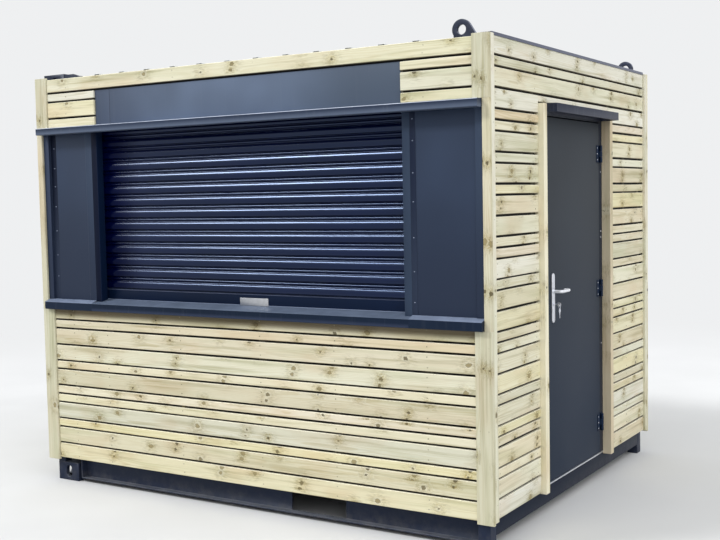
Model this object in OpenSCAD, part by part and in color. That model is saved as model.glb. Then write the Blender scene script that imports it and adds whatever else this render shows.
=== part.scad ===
// Serving kiosk: a clad steel cabin with a shuttered hatch in front and a door on its right side.
// Shop frame: x from the left trims' outer face, y from the front trims' face, z from the ground.

/* [Overall] */
// Width over the corner trims
clad_w = 3195; // [2800:5:4200]
// Depth over the corner trims
clad_d = 2525; // [2300:5:3200]
// Height of the trims' lower ends above the ground
base_h = 142; // [130:1:190]
// Height of the corner trims
trim_h = 2456; // [2380:1:2900]
// Build-up from the steel body's face to the trims' face
skin_t = 43; // [38:1:80]
// Thickness of the insulated walls and of the posts
wall_t = 60; // [45:1:100]

/* [Cladding] */
// Height of a wide board
board_wide = 96; // [80:1:120]
// Height of a narrow board
board_narrow = 47.3; // [40:0.1:60]
// Shadow gap between boards
board_gap = 8.5; // [5:0.5:12]
// Thickness of a board
board_t = 20; // [16:1:20]
// How far the front boards' face lies behind the trims' front face
board_set = 8; // [4:1:12]
// How far the side boards' face lies behind the trims' side face
side_set = 16; // [8:1:16]
// Width of a corner trim's front board
trim_w = 98; // [80:1:120]
// Width of a corner trim's side, front board's edge included
trim_side = 60; // [50:1:90]

/* [Base] */
// Length of a corner casting
casting_l = 178; // [160:1:200]
// Depth of a corner casting
casting_d = 162; // [140:1:180]
// Height of a corner casting
casting_h = 118; // [100:1:125]
// Width of a foot under the right-hand posts
foot_w = 70; // [62:1:90]
// Ground clearance of the front and back rails
rail_low = 22; // [10:1:40]
// Ground clearance of the side rails
side_rail_low = 62; // [40:1:90]
// Left edge of the fork pocket
pocket_x = 1886; // [1700:1:2000]
// Width of the fork pocket
pocket_w = 366; // [300:1:420]

/* [Hatch] */
// Distance from the side of the trims to the hatch surround
surround_in = 45; // [30:1:70]
// Left edge of the left shutter guide
guide_x = 463; // [380:1:560]
// Width of a shutter guide
guide_w = 45; // [35:1:60]
// Top of the counter where it meets the side panels
counter_z = 1190; // [1000:5:1300]
// Height of the counter's front lip
counter_lip = 48; // [35:1:70]
// How far the counter falls from the side panels' foot to its lip
counter_fall = 16; // [10:1:30]
// How far the counter's back rises above the side panels' foot
counter_rise = 3; // [2:1:20]
// How far the counter stands in front of the trims
counter_out = 25; // [10:1:60]
// Underside of the canopy
canopy_z = 2237; // [1900:1:2260]
// Height of the canopy's front
canopy_h = 42; // [30:1:80]
// How far the canopy stands in front of the trims
canopy_out = 48; // [30:1:90]
// Height of one shutter lath
lath_h = 73.2; // [60:0.1:100]
// Height of the shutter's bottom rail
bottom_rail_h = 72.5; // [60:0.5:100]
// Left edge of the plate on the bottom rail
plate_x = 1557; // [1200:1:1800]
// Width of the plate on the bottom rail
plate_w = 203; // [150:1:250]
// Distance from the left side of the trims to the joint in the fascia
fascia_joint = 631; // [560:1:1500]

/* [Door] */
// Near edge of the door leaf
leaf_y = 800; // [760:5:900]
// Width of the door leaf
leaf_w = 845; // [760:5:860]
// Gap between the door sill and the leaf
leaf_gap = 6; // [4:1:21]
// Height of the door leaf
leaf_h = 2054; // [1900:1:2056]
// Thickness of the door leaf
leaf_t = 44; // [38:1:46]
// Near edge of the opening between the door battens
bay_y = 695; // [640:5:720]
// Width of the opening between the door battens
bay_w = 1017; // [1000:1:1100]
// Width of a door batten
batten_w = 49; // [40:1:60]
// How far the door battens stand out past the trims
batten_out = 15; // [8:1:30]
// How far the cap over the door stands out past the trims
cap_out = 71; // [50:1:110]
// Height of the cap's front
cap_h = 47; // [35:1:60]
// Height of the lever above the ground
lever_z = 1254; // [1000:1:1300]
// Length of the lever
lever_l = 128; // [100:1:150]

/* [Roof] */
// Spacing of the roof sheet's ridges
ridge_pitch = 205; // [150:5:333]
// Height of a ridge
ridge_h = 40; // [25:1:40]
// Height of a lifting eye's centre above the top frame
eye_h = 77; // [70:1:110]
// Radius of a lifting eye's hole
eye_r = 25.5; // [20:0.5:30]
// Radius of a lifting eye's head
eye_head = 52; // [45:1:60]
// Distance from the body's right face to the front lifting eye
eye_in = 146; // [144:1:177]
// Distance from the body's right face to the back lifting eye
eye_in_back = 82; // [81:1:177]
// Height of the top castings' tops above the top frame
casting_rise = 62; // [50:1:80]

/* [Hidden] */

body_x0 = skin_t;
body_x1 = clad_w - skin_t;
body_y0 = skin_t;
body_y1 = clad_d - skin_t;
room_x0 = body_x0 + wall_t;
room_x1 = body_x1 - wall_t;
room_y0 = body_y0 + wall_t;
room_y1 = body_y1 - wall_t;
rail_top = base_h + 18;
leaf_z = rail_top + 9 + leaf_gap;
frame_top = base_h + trim_h - 40;
frame_h = 80;
wall_top = frame_top - frame_h;
trim_top = base_h + trim_h;
face = skin_t - board_set;
clad_z = base_h + 9.3;
front_top = trim_top - 10;
side_top = trim_top - 1;
guide_x2 = clad_w - guide_x - guide_w;
hatch_top = canopy_z + 65;
black_y = 20;
canopy_top = canopy_z + canopy_h;
lip_z = counter_z - counter_fall;
counter_low = lip_z - counter_lip;
counter_back = counter_z + counter_rise;
slope_end = 72;
cap_top = leaf_z + leaf_h + 64;
bay_y2 = bay_y + bay_w;
leaf_x1 = clad_w - skin_t + 8;
leaf_x0 = leaf_x1 - leaf_t;
jamb_x = leaf_x1 - 5;
leaf_y2 = leaf_y + leaf_w;
axis_x = leaf_x1 + 13;
axis_y = leaf_y2 + 2.5;
plate_y = leaf_y + 70;
hinge_z = [leaf_z + 192, leaf_z + 1036, leaf_z + 1867];
hinge_h = 105;
knuckle_r = 9;
pin_r = 4;
sheet = 3;
side_face = skin_t - side_set;
casting_x = body_x0 + casting_l;
casting_y = body_y0 + casting_d;
casting_z = frame_top + casting_rise - casting_h;

boards = [1, 1, 0, 1, 0, 0, 1, 0, 1, 1, 0, 0, 1, 1, 0, 1, 0, 0, 1, 1, 0, 1, 0, 1, 0, 0, 1, 1, 0, 1];
function pitch(k) = (boards[k % len(boards)] == 1 ? board_wide : board_narrow) + board_gap;
function level(k) = k == 0 ? clad_z : level(k - 1) + pitch(k - 1);
function course_at(z, k = 0) = level(k + 1) > z ? k : course_at(z, k + 1);
door_course = course_at(cap_top);
top_course = course_at(front_top - 30);
sill_course = course_at(counter_low) - 1;

// Puts the whole kiosk with its box centred over the origin
module place() {
    translate([-(clad_w + cap_out) / 2, -(clad_d - canopy_out) / 2, 0])
        children();
}

// A box between two corners
module box(a, b) {
    translate(a)
        cube([b[0] - a[0], b[1] - a[1], b[2] - a[2]]);
}

// Copies a piece at the left end to the right end
module both_ends() {
    children();
    translate([clad_w, 0, 0])
        mirror([1, 0, 0])
            children();
}

// Puts a piece made for the left end at the right end
module right_end() {
    translate([clad_w, 0, 0])
        mirror([1, 0, 0])
            children();
}

// Copies a piece at the front to the back
module both_sides() {
    children();
    translate([0, clad_d, 0])
        mirror([0, 1, 0])
            children();
}

// Section through boards on their backing, standing outwards along the first axis to a given depth
module board_section(depth, z0, z1, first, last) {
    union() {
        translate([0, z0])
            square([depth - board_t, z1 - z0]);
        for (k = [first:last])
            let (lo = max(z0, level(k) + board_gap / 2), hi = min(z1, level(k + 1) - board_gap / 2))
                if (hi > lo)
                    translate([0, lo])
                        square([depth, hi - lo]);
    }
}

// Boards on the front, between two x positions
module boards_front(x0, x1, z0, z1, first, last) {
    translate([x0, body_y0, 0])
        mirror([0, 1, 0])
            rotate([90, 0, 90])
                linear_extrude(x1 - x0)
                    board_section(face, z0, z1, first, last);
}

// Boards on the right side, between two y positions
module boards_right(y0, y1, z0, z1, first, last) {
    translate([body_x1, y1, 0])
        rotate([90, 0, 0])
            linear_extrude(y1 - y0)
                board_section(side_face, z0, z1, first, last);
}

// A corner casting with its holes
module casting() {
    difference() {
        cube([casting_l, casting_d, casting_h]);
        translate([28, 28, 16])
            cube([casting_l - 56, casting_d - 56, casting_h - 32]);
        for (dz = [-13.5, 13.5])
            translate([casting_l / 2 + 4, -1, casting_h / 2 + dz])
                rotate([-90, 0, 0])
                    cylinder(r = 25, h = 40);
        translate([casting_l / 2 - 21, -1, casting_h / 2 - 13.5])
            cube([50, 40, 27]);
        for (dz = [-12, 12])
            translate([-1, casting_d / 2, casting_h / 2 + dz])
                rotate([0, 90, 0])
                    cylinder(r = 25, h = 40);
        translate([-1, casting_d / 2 - 25, casting_h / 2 - 12])
            cube([40, 50, 24]);
        for (dx = [-26, 26])
            translate([casting_l / 2 + dx, casting_d / 2, -1])
                cylinder(r = 30, h = 30);
        translate([casting_l / 2 - 26, casting_d / 2 - 30, -1])
            cube([52, 60, 30]);
    }
}

module base_castings() {
    color([0.13, 0.15, 0.19])
        both_sides()
            translate([body_x0, body_y0, 0])
                casting();
}

// Top castings of the left end, each with an upright gusset plate on the frame beside it
module top_castings() {
    z0 = frame_top;
    color([0.13, 0.15, 0.19])
        both_sides()
            union() {
                translate([body_x0, body_y0, frame_top + casting_rise])
                    mirror([0, 0, 1])
                        casting();
                translate([casting_x, body_y0 + 14, 0])
                    rotate([90, 0, 0])
                        linear_extrude(12)
                            polygon([[-5, z0], [195, z0], [174, z0 + 27], [82, z0 + casting_rise - 6],
                                [-5, z0 + casting_rise - 6]]);
            }
}

module base_rails_long() {
    rail_x0 = casting_x + 20;
    rail_l = body_x1 - foot_w - rail_x0;
    color([0.12, 0.14, 0.19])
        both_sides()
            union() {
                difference() {
                    translate([rail_x0, body_y0 + 5, 0])
                        rotate([90, 0, 90])
                            linear_extrude(rail_l)
                                polygon([[0, rail_low], [48, rail_low], [48, rail_top], [0, rail_top],
                                    [0, rail_top - 8], [41, rail_top - 8], [41, rail_low + 8], [0, rail_low + 8]]);
                    translate([pocket_x, body_y0 + 20, rail_low + 8])
                        cube([pocket_w, 60, rail_top - rail_low - 22]);
                }
                box([rail_x0, body_y0 + 5, rail_low], [rail_x0 + 10, body_y0 + 53, rail_top]);
                box([casting_x, body_y0 + 25, rail_low + 8], [rail_x0 + 1, body_y0 + 53, rail_top]);
            }
}

// Channel of a side's bottom rail, between two y positions
module side_rail(y0, y1) {
    translate([body_x0, y1, 0])
        rotate([90, 0, 0])
            linear_extrude(y1 - y0)
                polygon([[0, side_rail_low], [50, side_rail_low], [50, side_rail_low + 7],
                    [7, side_rail_low + 7], [7, rail_top - 7], [50, rail_top - 7],
                    [50, rail_top], [0, rail_top]]);
}

module base_rails_short() {
    color([0.12, 0.14, 0.19]) {
        side_rail(casting_y, clad_d - casting_y);
        right_end()
            side_rail(body_y0 + foot_w, body_y1 - foot_w);
    }
}

module cross_members() {
    y0 = body_y0 + 53;
    x1 = pocket_x + pocket_w;
    left = [for (t = [0.288, 0.576, 0.864]) t * pocket_x];
    right = [for (t = [0.119, 0.5595]) x1 + t * (clad_w - x1)];
    color([0.11, 0.12, 0.15])
        for (x = concat(left, right))
            translate([x, y0, rail_top - 80])
                difference() {
                    cube([50, clad_d - 2 * y0, 80]);
                    translate([4, -1, 4])
                        cube([42, clad_d - 2 * y0 + 2, 72]);
                }
}

module floor_deck() {
    color([0.42, 0.33, 0.24])
        box([room_x0, room_y0, rail_top], [room_x1, room_y1, rail_top + 22]);
}

// An upright square tube at the left front corner
module post(z0, z1) {
    translate([body_x0, body_y0, z0])
        difference() {
            cube([wall_t, wall_t, z1 - z0]);
            translate([5, 5, -1])
                cube([wall_t - 10, wall_t - 10, z1 - z0 + 2]);
        }
}

// Left posts stand between castings, right ones on a wider closed foot
module corner_posts() {
    color([0.13, 0.15, 0.19])
        both_sides() {
            post(casting_h, casting_z);
            right_end()
                union() {
                    post(rail_top, frame_top);
                    difference() {
                        box([body_x0, body_y0, 0], [body_x0 + foot_w, body_y0 + foot_w, rail_top]);
                        box([body_x0 + 6, body_y0 + 6, 8],
                            [body_x0 + foot_w - 6, body_y0 + foot_w - 6, rail_top - 6]);
                    }
                }
        }
}

module top_rails_long() {
    color([0.13, 0.15, 0.19])
        both_sides()
            union() {
                difference() {
                    box([casting_x, body_y0, wall_top], [room_x1, room_y0, frame_top]);
                    box([casting_x - 1, body_y0 + 5, wall_top + 5], [room_x1 + 1, room_y0 - 5, frame_top - 5]);
                }
                box([room_x0, body_y0, wall_top], [casting_x + 5, room_y0, casting_z]);
            }
}

// Tube of a side's top rail, between two y positions
module side_top_rail(y0, y1) {
    difference() {
        box([body_x0, y0, wall_top], [room_x0, y1, frame_top]);
        box([body_x0 + 5, y0 - 1, wall_top + 5], [room_x0 - 5, y1 + 1, frame_top - 5]);
    }
}

module top_rails_short() {
    color([0.13, 0.15, 0.19]) {
        union() {
            side_top_rail(casting_y, clad_d - casting_y);
            both_sides()
                box([body_x0, room_y0, wall_top], [room_x0, casting_y + 5, casting_z]);
        }
        right_end()
            side_top_rail(room_y0, room_y1);
    }
}

module wall_front_lower() {
    color([0.2, 0.22, 0.26])
        box([room_x0, body_y0, rail_top], [room_x1, room_y0, counter_z - 45]);
}

module wall_front_piers() {
    color([0.2, 0.22, 0.26])
        both_ends()
            box([room_x0, body_y0, counter_z - 45], [guide_x, room_y0, hatch_top]);
}

module wall_front_upper() {
    color([0.2, 0.22, 0.26])
        box([room_x0, body_y0, hatch_top], [room_x1, room_y0, wall_top]);
}

module wall_back() {
    color([0.2, 0.22, 0.26])
        box([room_x0, room_y1, rail_top], [room_x1, body_y1, wall_top]);
}

module wall_left() {
    color([0.2, 0.22, 0.26])
        box([body_x0, room_y0, rail_top], [room_x0, room_y1, wall_top]);
}

module wall_right_near() {
    color([0.2, 0.22, 0.26])
        box([room_x1, room_y0, rail_top], [body_x1, bay_y, wall_top]);
}

module wall_right_far() {
    color([0.2, 0.22, 0.26])
        box([room_x1, bay_y2, rail_top], [body_x1, room_y1, wall_top]);
}

module wall_right_head() {
    color([0.2, 0.22, 0.26])
        box([room_x1, bay_y, cap_top], [body_x1, bay_y2, wall_top]);
}

module ceiling_panel() {
    color([0.82, 0.83, 0.82])
        difference() {
            box([room_x0, room_y0, frame_top - 60], [room_x1, room_y1, frame_top]);
            both_sides()
                box([body_x0, body_y0, frame_top - 61], [casting_x, casting_y, frame_top + 1]);
        }
}

// Cut-outs that let the castings, gussets and lifting lugs through the roof sheet
module lug_slots() {
    both_sides() {
        box([40, 40, frame_top - 5], [casting_x + 2, casting_y + 2, frame_top + 60]);
        box([casting_x, 40, frame_top - 5], [casting_x + 200, body_y0 + 18, frame_top + 60]);
        box([body_x1 - 232, 40, frame_top - 5], [body_x1 + 3, 110, frame_top + 60]);
    }
}

module roof_sheet() {
    x0 = body_x0 + 40;
    x1 = body_x1 - 40;
    y0 = body_y0 + 0.5;
    first = 305;
    count = floor((x1 - 40 - first) / ridge_pitch);
    color([0.78, 0.8, 0.8])
        difference() {
            translate([0, clad_d - y0, frame_top])
                rotate([90, 0, 0])
                    linear_extrude(clad_d - 2 * y0)
                        polygon(concat(
                            [[x0, 0]],
                            [for (k = [0:count]) for (p = [[-32, 0], [-18, ridge_h - 2.5],
                                [18, ridge_h - 2.5], [32, 0]]) [first + k * ridge_pitch + p[0], p[1]]],
                            [[x1, 0], [x1, 2.5]],
                            [for (k = [count:-1:0]) for (p = [[34, 2.5], [20, ridge_h],
                                [-20, ridge_h], [-34, 2.5]]) [first + k * ridge_pitch + p[0], p[1]]],
                            [[x0, 2.5]]));
            lug_slots();
        }
}

// Folded edge strip of the roof over the left side's boards, between two y positions
module flashing(y0, y1) {
    lip_x = side_set - 0.3;
    top = side_top + 12;
    translate([0, y1, 0])
        rotate([90, 0, 0])
            linear_extrude(y1 - y0)
                polygon([[lip_x, side_top - 5], [lip_x, top - 3], [body_x0 + 30, top - 3],
                    [body_x0 + 30, frame_top], [body_x0 + 33, frame_top], [body_x0 + 33, top],
                    [lip_x - 3, top], [lip_x - 3, side_top - 5]]);
}

module roof_flashings() {
    color([0.16, 0.17, 0.2]) {
        flashing(casting_y + 1, clad_d - casting_y - 1);
        right_end()
            flashing(trim_side + 2, clad_d - trim_side - 2);
    }
}

// One lifting lug with a steep side and a sloping side
module lug(steep, slope) {
    translate([0, 100, frame_top])
        rotate([90, 0, 0])
            linear_extrude(20)
                difference() {
                    union() {
                        polygon([[-slope, 0], [steep, 0], [steep, eye_h + 15], [-43, eye_h + 30]]);
                        translate([0, eye_h])
                            circle(r = eye_head);
                    }
                    translate([0, eye_h])
                        circle(r = eye_r);
                }
}

// Two lifting lugs at the right end; the back one is turned round and nearer to the side
module lifting_lugs() {
    color([0.1, 0.11, 0.13])
        right_end() {
            translate([skin_t + eye_in, 0, 0])
                lug(44, 110);
            translate([skin_t + eye_in_back, clad_d, 0])
                mirror([0, 1, 0])
                    mirror([1, 0, 0])
                        lug(44, 110);
        }
}

module cladding_front_lower() {
    color([0.84, 0.8, 0.63])
        union() {
            boards_front(trim_w, clad_w - trim_w, clad_z, counter_low + 10, 0, sill_course);
            box([trim_w, body_y0 - face, level(sill_course) + board_gap / 2],
                [clad_w - trim_w, body_y0, counter_low + 10]);
        }
}

module cladding_front_upper() {
    short_top = level(top_course) - board_gap / 2;
    color([0.84, 0.8, 0.63]) {
        boards_front(trim_w, guide_x + guide_w, canopy_top + 1, short_top, door_course, top_course);
        boards_front(guide_x2, clad_w - trim_w, canopy_top + 1, short_top, door_course, top_course);
        boards_front(trim_w, clad_w - trim_w, short_top + board_gap, front_top, top_course, top_course);
    }
}

module cladding_left() {
    color([0.84, 0.8, 0.63])
        right_end()
            boards_right(trim_side, clad_d - trim_side, clad_z + 4, side_top, 0, top_course);
}

module cladding_back() {
    color([0.84, 0.8, 0.63])
        translate([0, clad_d, 0])
            mirror([0, 1, 0])
                boards_front(trim_w, clad_w - trim_w, clad_z + 4, front_top, 0, top_course);
}

module cladding_right_near() {
    color([0.84, 0.8, 0.63])
        boards_right(trim_side, bay_y - batten_w, clad_z + 4, level(door_course), 0, door_course - 1);
}

module cladding_right_far() {
    color([0.84, 0.8, 0.63])
        boards_right(bay_y2 + batten_w, clad_d - trim_side, clad_z + 4, level(door_course), 0, door_course - 1);
}

module cladding_right_top() {
    color([0.84, 0.8, 0.63])
        difference() {
            boards_right(trim_side, clad_d - trim_side, level(door_course), side_top, door_course, top_course);
            box([body_x1 - 1, bay_y - batten_w, level(door_course) - 1],
                [clad_w, bay_y2 + batten_w, cap_top + 4]);
        }
}

module corner_trims() {
    color([0.85, 0.82, 0.64])
        difference() {
            both_ends()
                both_sides()
                    translate([0, 0, base_h])
                        linear_extrude(trim_h)
                            polygon([[0, 0], [trim_w, 0], [trim_w, board_t], [trim_w - 10, board_t],
                                [trim_w - 10, skin_t], [skin_t, skin_t], [skin_t, trim_side], [0, trim_side]]);
            both_ends() {
                box([surround_in, -1, counter_low], [trim_w + 1, skin_t + 1, canopy_top]);
                both_sides()
                    box([-1, board_t, base_h - 1], [skin_t + 1, trim_side + 1, base_h + 10]);
            }
        }
}

module door_battens() {
    color([0.85, 0.82, 0.64]) {
        box([body_x1, bay_y - batten_w, base_h + 8], [clad_w + batten_out, bay_y, cap_top]);
        box([body_x1, bay_y2, base_h + 8], [clad_w + batten_out, bay_y2 + batten_w, cap_top]);
    }
}

module door_jambs() {
    color([0.13, 0.15, 0.18])
        translate([0, 0, rail_top + 9])
            linear_extrude(leaf_z + leaf_h + 7 - rail_top - 9) {
                polygon([[room_x1, bay_y], [jamb_x, bay_y], [jamb_x, leaf_y - 7],
                    [leaf_x0 - 5, leaf_y - 7], [leaf_x0 - 5, leaf_y + 12], [room_x1, leaf_y + 12]]);
                polygon([[room_x1, bay_y2], [jamb_x, bay_y2], [jamb_x, leaf_y2 + 5],
                    [leaf_x0 - 5, leaf_y2 + 5], [leaf_x0 - 5, leaf_y2 - 12], [room_x1, leaf_y2 - 12]]);
            }
}

module door_head() {
    z0 = leaf_z + leaf_h + 7;
    color([0.13, 0.15, 0.18]) {
        translate([0, bay_y2, 0])
            rotate([90, 0, 0])
                linear_extrude(bay_w)
                    polygon([[room_x1, z0], [jamb_x, z0], [jamb_x, cap_top - 4], [room_x1, cap_top - 4]]);
        box([room_x1, leaf_y + 12.5, z0 - 19], [leaf_x0 - 5, leaf_y2 - 12.5, z0 + 1]);
    }
}

module door_sill() {
    color([0.13, 0.15, 0.18])
        box([room_x1, bay_y, rail_top], [jamb_x + 3, bay_y2, rail_top + 9]);
}

module door_cap() {
    x1 = clad_w + cap_out;
    color([0.15, 0.16, 0.2])
        union() {
            translate([0, bay_y2 - 3, 0])
                rotate([90, 0, 0])
                    linear_extrude(bay_w - 6)
                        polygon([[jamb_x, cap_top - cap_h], [jamb_x + sheet, cap_top - cap_h],
                            [jamb_x + sheet, cap_top - sheet + 4], [x1 - sheet, cap_top - sheet],
                            [x1 - sheet, cap_top - cap_h + sheet], [x1 - 15, cap_top - cap_h + sheet],
                            [x1 - 15, cap_top - cap_h], [x1, cap_top - cap_h], [x1, cap_top],
                            [jamb_x, cap_top + 4]]);
            box([jamb_x, bay_y + 3, cap_top - cap_h], [x1, bay_y + 3 + sheet, cap_top]);
            box([jamb_x, bay_y2 - 3 - sheet, cap_top - cap_h], [x1, bay_y2 - 3, cap_top]);
        }
}

module canopy() {
    x0 = surround_in;
    y0 = -canopy_out;
    l = clad_w - 2 * surround_in;
    color([0.15, 0.17, 0.22])
        union() {
            translate([x0, 0, canopy_z])
                rotate([90, 0, 90])
                    linear_extrude(l)
                        polygon([[y0, 0], [black_y - 6, 0], [black_y - 6, sheet], [y0 + sheet, sheet],
                            [y0 + sheet, canopy_h - sheet], [black_y, canopy_h - sheet],
                            [black_y, canopy_h], [y0, canopy_h]]);
            box([x0, y0, canopy_z], [x0 + sheet, -1, canopy_top]);
            box([x0 + l - sheet, y0, canopy_z], [x0 + l, -1, canopy_top]);
        }
}

// Height of the counter's top at a depth, on the slope in front of the shutter
function counter_at(y) = lip_z + (counter_back - lip_z) * (y + counter_out) / (slope_end + counter_out);

// Outline of the counter's folded lip, from its lower back edge to the underside of the top
function lip_points() = [[-counter_out, counter_low], [-counter_out + 20, counter_low],
    [-counter_out + 20, counter_low + sheet], [-counter_out + sheet, counter_low + sheet],
    [-counter_out + sheet, lip_z - sheet]];

module counter_ends() {
    color([0.16, 0.18, 0.23])
        both_ends()
            union() {
                translate([surround_in, 0, 0])
                    rotate([90, 0, 90])
                        linear_extrude(guide_x - surround_in)
                            polygon(concat(lip_points(), [[black_y, counter_z - sheet],
                                [body_y0, counter_z - sheet], [body_y0, counter_z],
                                [black_y, counter_z], [-counter_out, lip_z]]));
                box([surround_in, -counter_out, counter_low], [surround_in + sheet, -1, lip_z - 1]);
            }
}

module counter_centre() {
    color([0.16, 0.18, 0.23])
        translate([guide_x + 0.3, 0, 0])
            rotate([90, 0, 90])
                linear_extrude(guide_x2 + guide_w - guide_x - 0.6)
                    polygon(concat(lip_points(), [[body_y0, counter_at(body_y0) - sheet],
                        [body_y0, counter_z - 45], [room_y0, counter_z - 45], [room_y0, counter_back],
                        [slope_end, counter_back], [-counter_out, lip_z]]));
}

// Panels of the hatch surround: the left one has its riveted strip beside the edge post and a
// fold beside the guide, the right one has its riveted strip beside the guide
module side_panels() {
    y0 = black_y;
    h = canopy_top - sheet - 0.5 - counter_z;
    color([0.17, 0.19, 0.25]) {
        translate([0, 0, counter_z])
            linear_extrude(h)
                polygon([[surround_in, skin_t], [surround_in, y0 - 6], [surround_in + 44, y0 - 6],
                    [surround_in + 44, y0 + 14], [surround_in + 95, y0 + 14],
                    [surround_in + 101, y0 + 4], [guide_x - 57, y0 + 4], [guide_x - 53, y0],
                    [guide_x, y0], [guide_x, skin_t]]);
        right_end()
            translate([0, 0, counter_z])
                linear_extrude(h)
                    polygon([[surround_in, skin_t], [surround_in, y0 - 6], [surround_in + 45, y0 - 6],
                        [surround_in + 45, y0 + 4], [guide_x - 35, y0 + 4], [guide_x - 31, y0],
                        [guide_x, y0], [guide_x, skin_t]]);
    }
}

// Folded sheet over the canopy, with the joint line between its two lengths
module fascia_panel() {
    z0 = canopy_top;
    z1 = level(top_course) - board_gap / 2;
    color([0.3, 0.33, 0.4])
        difference() {
            translate([guide_x + guide_w + 3, 0, 0])
                rotate([90, 0, 90])
                    linear_extrude(guide_x2 - guide_x - guide_w - 6)
                        polygon([[black_y, z0], [body_y0, z0], [body_y0, z0 + sheet],
                            [black_y + sheet, z0 + sheet], [black_y + sheet, z1 - sheet],
                            [body_y0, z1 - sheet], [body_y0, z1], [black_y, z1]]);
            box([fascia_joint - 1, black_y - 1, z0 - 1], [fascia_joint + 1, black_y + 1, z1 + 1]);
        }
}

// Guides of the shutter, each with a slot for the laths' ends, cut to the counter's slope at the foot
module shutter_guides() {
    x0 = guide_x;
    x1 = guide_x + guide_w;
    y0 = black_y;
    slot0 = 72;
    slot1 = 98;
    foot = counter_at(y0);
    color([0.14, 0.16, 0.21])
        both_ends()
            difference() {
                translate([0, 0, foot])
                    linear_extrude(canopy_top - foot)
                        difference() {
                            polygon([[x0, y0], [x1, y0], [x1, slot0], [x0 + sheet, slot0],
                                [x0 + sheet, slot1], [x1, slot1], [x1, slot1 + sheet], [x0, slot1 + sheet]]);
                            translate([x0 + sheet, y0 + sheet])
                                square([guide_w - 2 * sheet, slot0 - y0 - 2 * sheet]);
                        }
                translate([x0 - 1, 0, 0.3])
                    rotate([90, 0, 90])
                        linear_extrude(guide_w + 2)
                            polygon([[y0 - 1, foot - 5], [slot1 + 5, foot - 5], [slot1 + 5, counter_back],
                                [slope_end, counter_back], [y0 - 1, counter_at(y0 - 1)]]);
            }
}

// Front of a lath at a share t of its height: a ledge, a shallow arc, a shoulder into a groove, a
// bead and a narrow joint
function lath_front(t) = t < 0.05 ? 13.5 * sin(1800 * t)
    : t < 0.575 ? 15 - pow((t - 0.21) * lath_h, 2) / 92
    : t < 0.69 ? 7.2 * pow((0.69 - t) / 0.115, 3)
    : t < 0.965 ? 8 * sin(180 * (t - 0.69) / 0.275)
    : 0;
lath_steps = [0, 0.012, 0.026, 0.05, 0.12, 0.2, 0.28, 0.36, 0.44, 0.51, 0.574, 0.592, 0.612, 0.64, 0.69,
    0.725, 0.76, 0.795, 0.83, 0.865, 0.9, 0.935, 0.965];

// Curtain of laths, with a plain strip at its top that leads to the roll
module shutter_curtain() {
    z0 = counter_back + bottom_rail_h + 1;
    top = hatch_top - 2 - z0;
    count = floor(top / lath_h);
    x0 = guide_x + 8;
    y0 = 92;
    t = 4;
    color([0.08, 0.1, 0.16])
        translate([x0, 0, z0])
            rotate([90, 0, 90])
                linear_extrude(clad_w - 2 * x0)
                    polygon(concat(
                        [for (k = [0:count - 1]) for (s = lath_steps) [y0 - t - lath_front(s), (k + s) * lath_h]],
                        [[y0 - t, count * lath_h], [y0 - t, top], [y0, top], [y0, count * lath_h]],
                        [for (k = [count - 1:-1:0]) for (j = [len(lath_steps) - 1:-1:0])
                            [y0 - lath_front(lath_steps[j]), (k + lath_steps[j]) * lath_h]]));
}

module shutter_bottom_rail() {
    z0 = counter_back + 0.5;
    x0 = guide_x + 8;
    h = bottom_rail_h;
    color([0.09, 0.11, 0.17])
        translate([x0, 0, z0])
            rotate([90, 0, 90])
                linear_extrude(clad_w - 2 * x0)
                    polygon([[80, 0], [94, 0], [94, h], [84, h], [84, h - 5], [80, h - 9]]);
}

module name_plate() {
    z0 = counter_back + 1;
    color([0.7, 0.71, 0.72])
        box([plate_x, 78.3, z0], [plate_x + plate_w, 80, z0 + 44]);
}

module shutter_roll() {
    x0 = guide_x + 9;
    color([0.1, 0.12, 0.18])
        translate([x0, 225, hatch_top - 20])
            rotate([0, 90, 0])
                difference() {
                    cylinder(r = 110, h = clad_w - 2 * x0);
                    translate([0, 0, -1])
                        cylinder(r = 100, h = clad_w - 2 * x0 + 2);
                }
}

module roll_brackets() {
    z0 = hatch_top - 160;
    color([0.16, 0.18, 0.23])
        both_ends()
            difference() {
                box([guide_x - 20, room_y0, z0], [guide_x - 14, 345, z0 + 290]);
                translate([guide_x - 21, 225, hatch_top - 20])
                    rotate([0, 90, 0])
                        cylinder(r = 30, h = 10);
            }
    color([0.16, 0.18, 0.23])
        both_ends()
            translate([guide_x - 14, 225, hatch_top - 20])
                rotate([0, 90, 0])
                    difference() {
                        cylinder(r = 99.7, h = 34);
                        translate([0, 0, -1])
                            cylinder(r = 80, h = 36);
                    }
}

// A hinge knuckle with its block, on one side of the pin
module knuckle(z0, z1, side, depth) {
    union() {
        translate([axis_x, axis_y, z0])
            cylinder(r = knuckle_r, h = z1 - z0);
        if (side < 0)
            box([leaf_x1, axis_y - 15, z0], [axis_x, axis_y, z1]);
        else
            box([axis_x - depth, axis_y, z0], [axis_x, axis_y + 15, z1]);
    }
}

module hinge_fixed() {
    third = hinge_h / 3;
    deep = axis_x - jamb_x;
    color([0.1, 0.11, 0.14])
        for (z = hinge_z)
            union() {
                knuckle(z - hinge_h / 2, z - third / 2 - 2, 1, deep);
                knuckle(z + third / 2 + 2, z + hinge_h / 2, 1, deep);
                translate([axis_x, axis_y, z - hinge_h / 2])
                    cylinder(r = pin_r, h = hinge_h);
                box([jamb_x, axis_y + 14, z - hinge_h / 2], [jamb_x + 4, axis_y + 48, z + hinge_h / 2]);
            }
}

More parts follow.
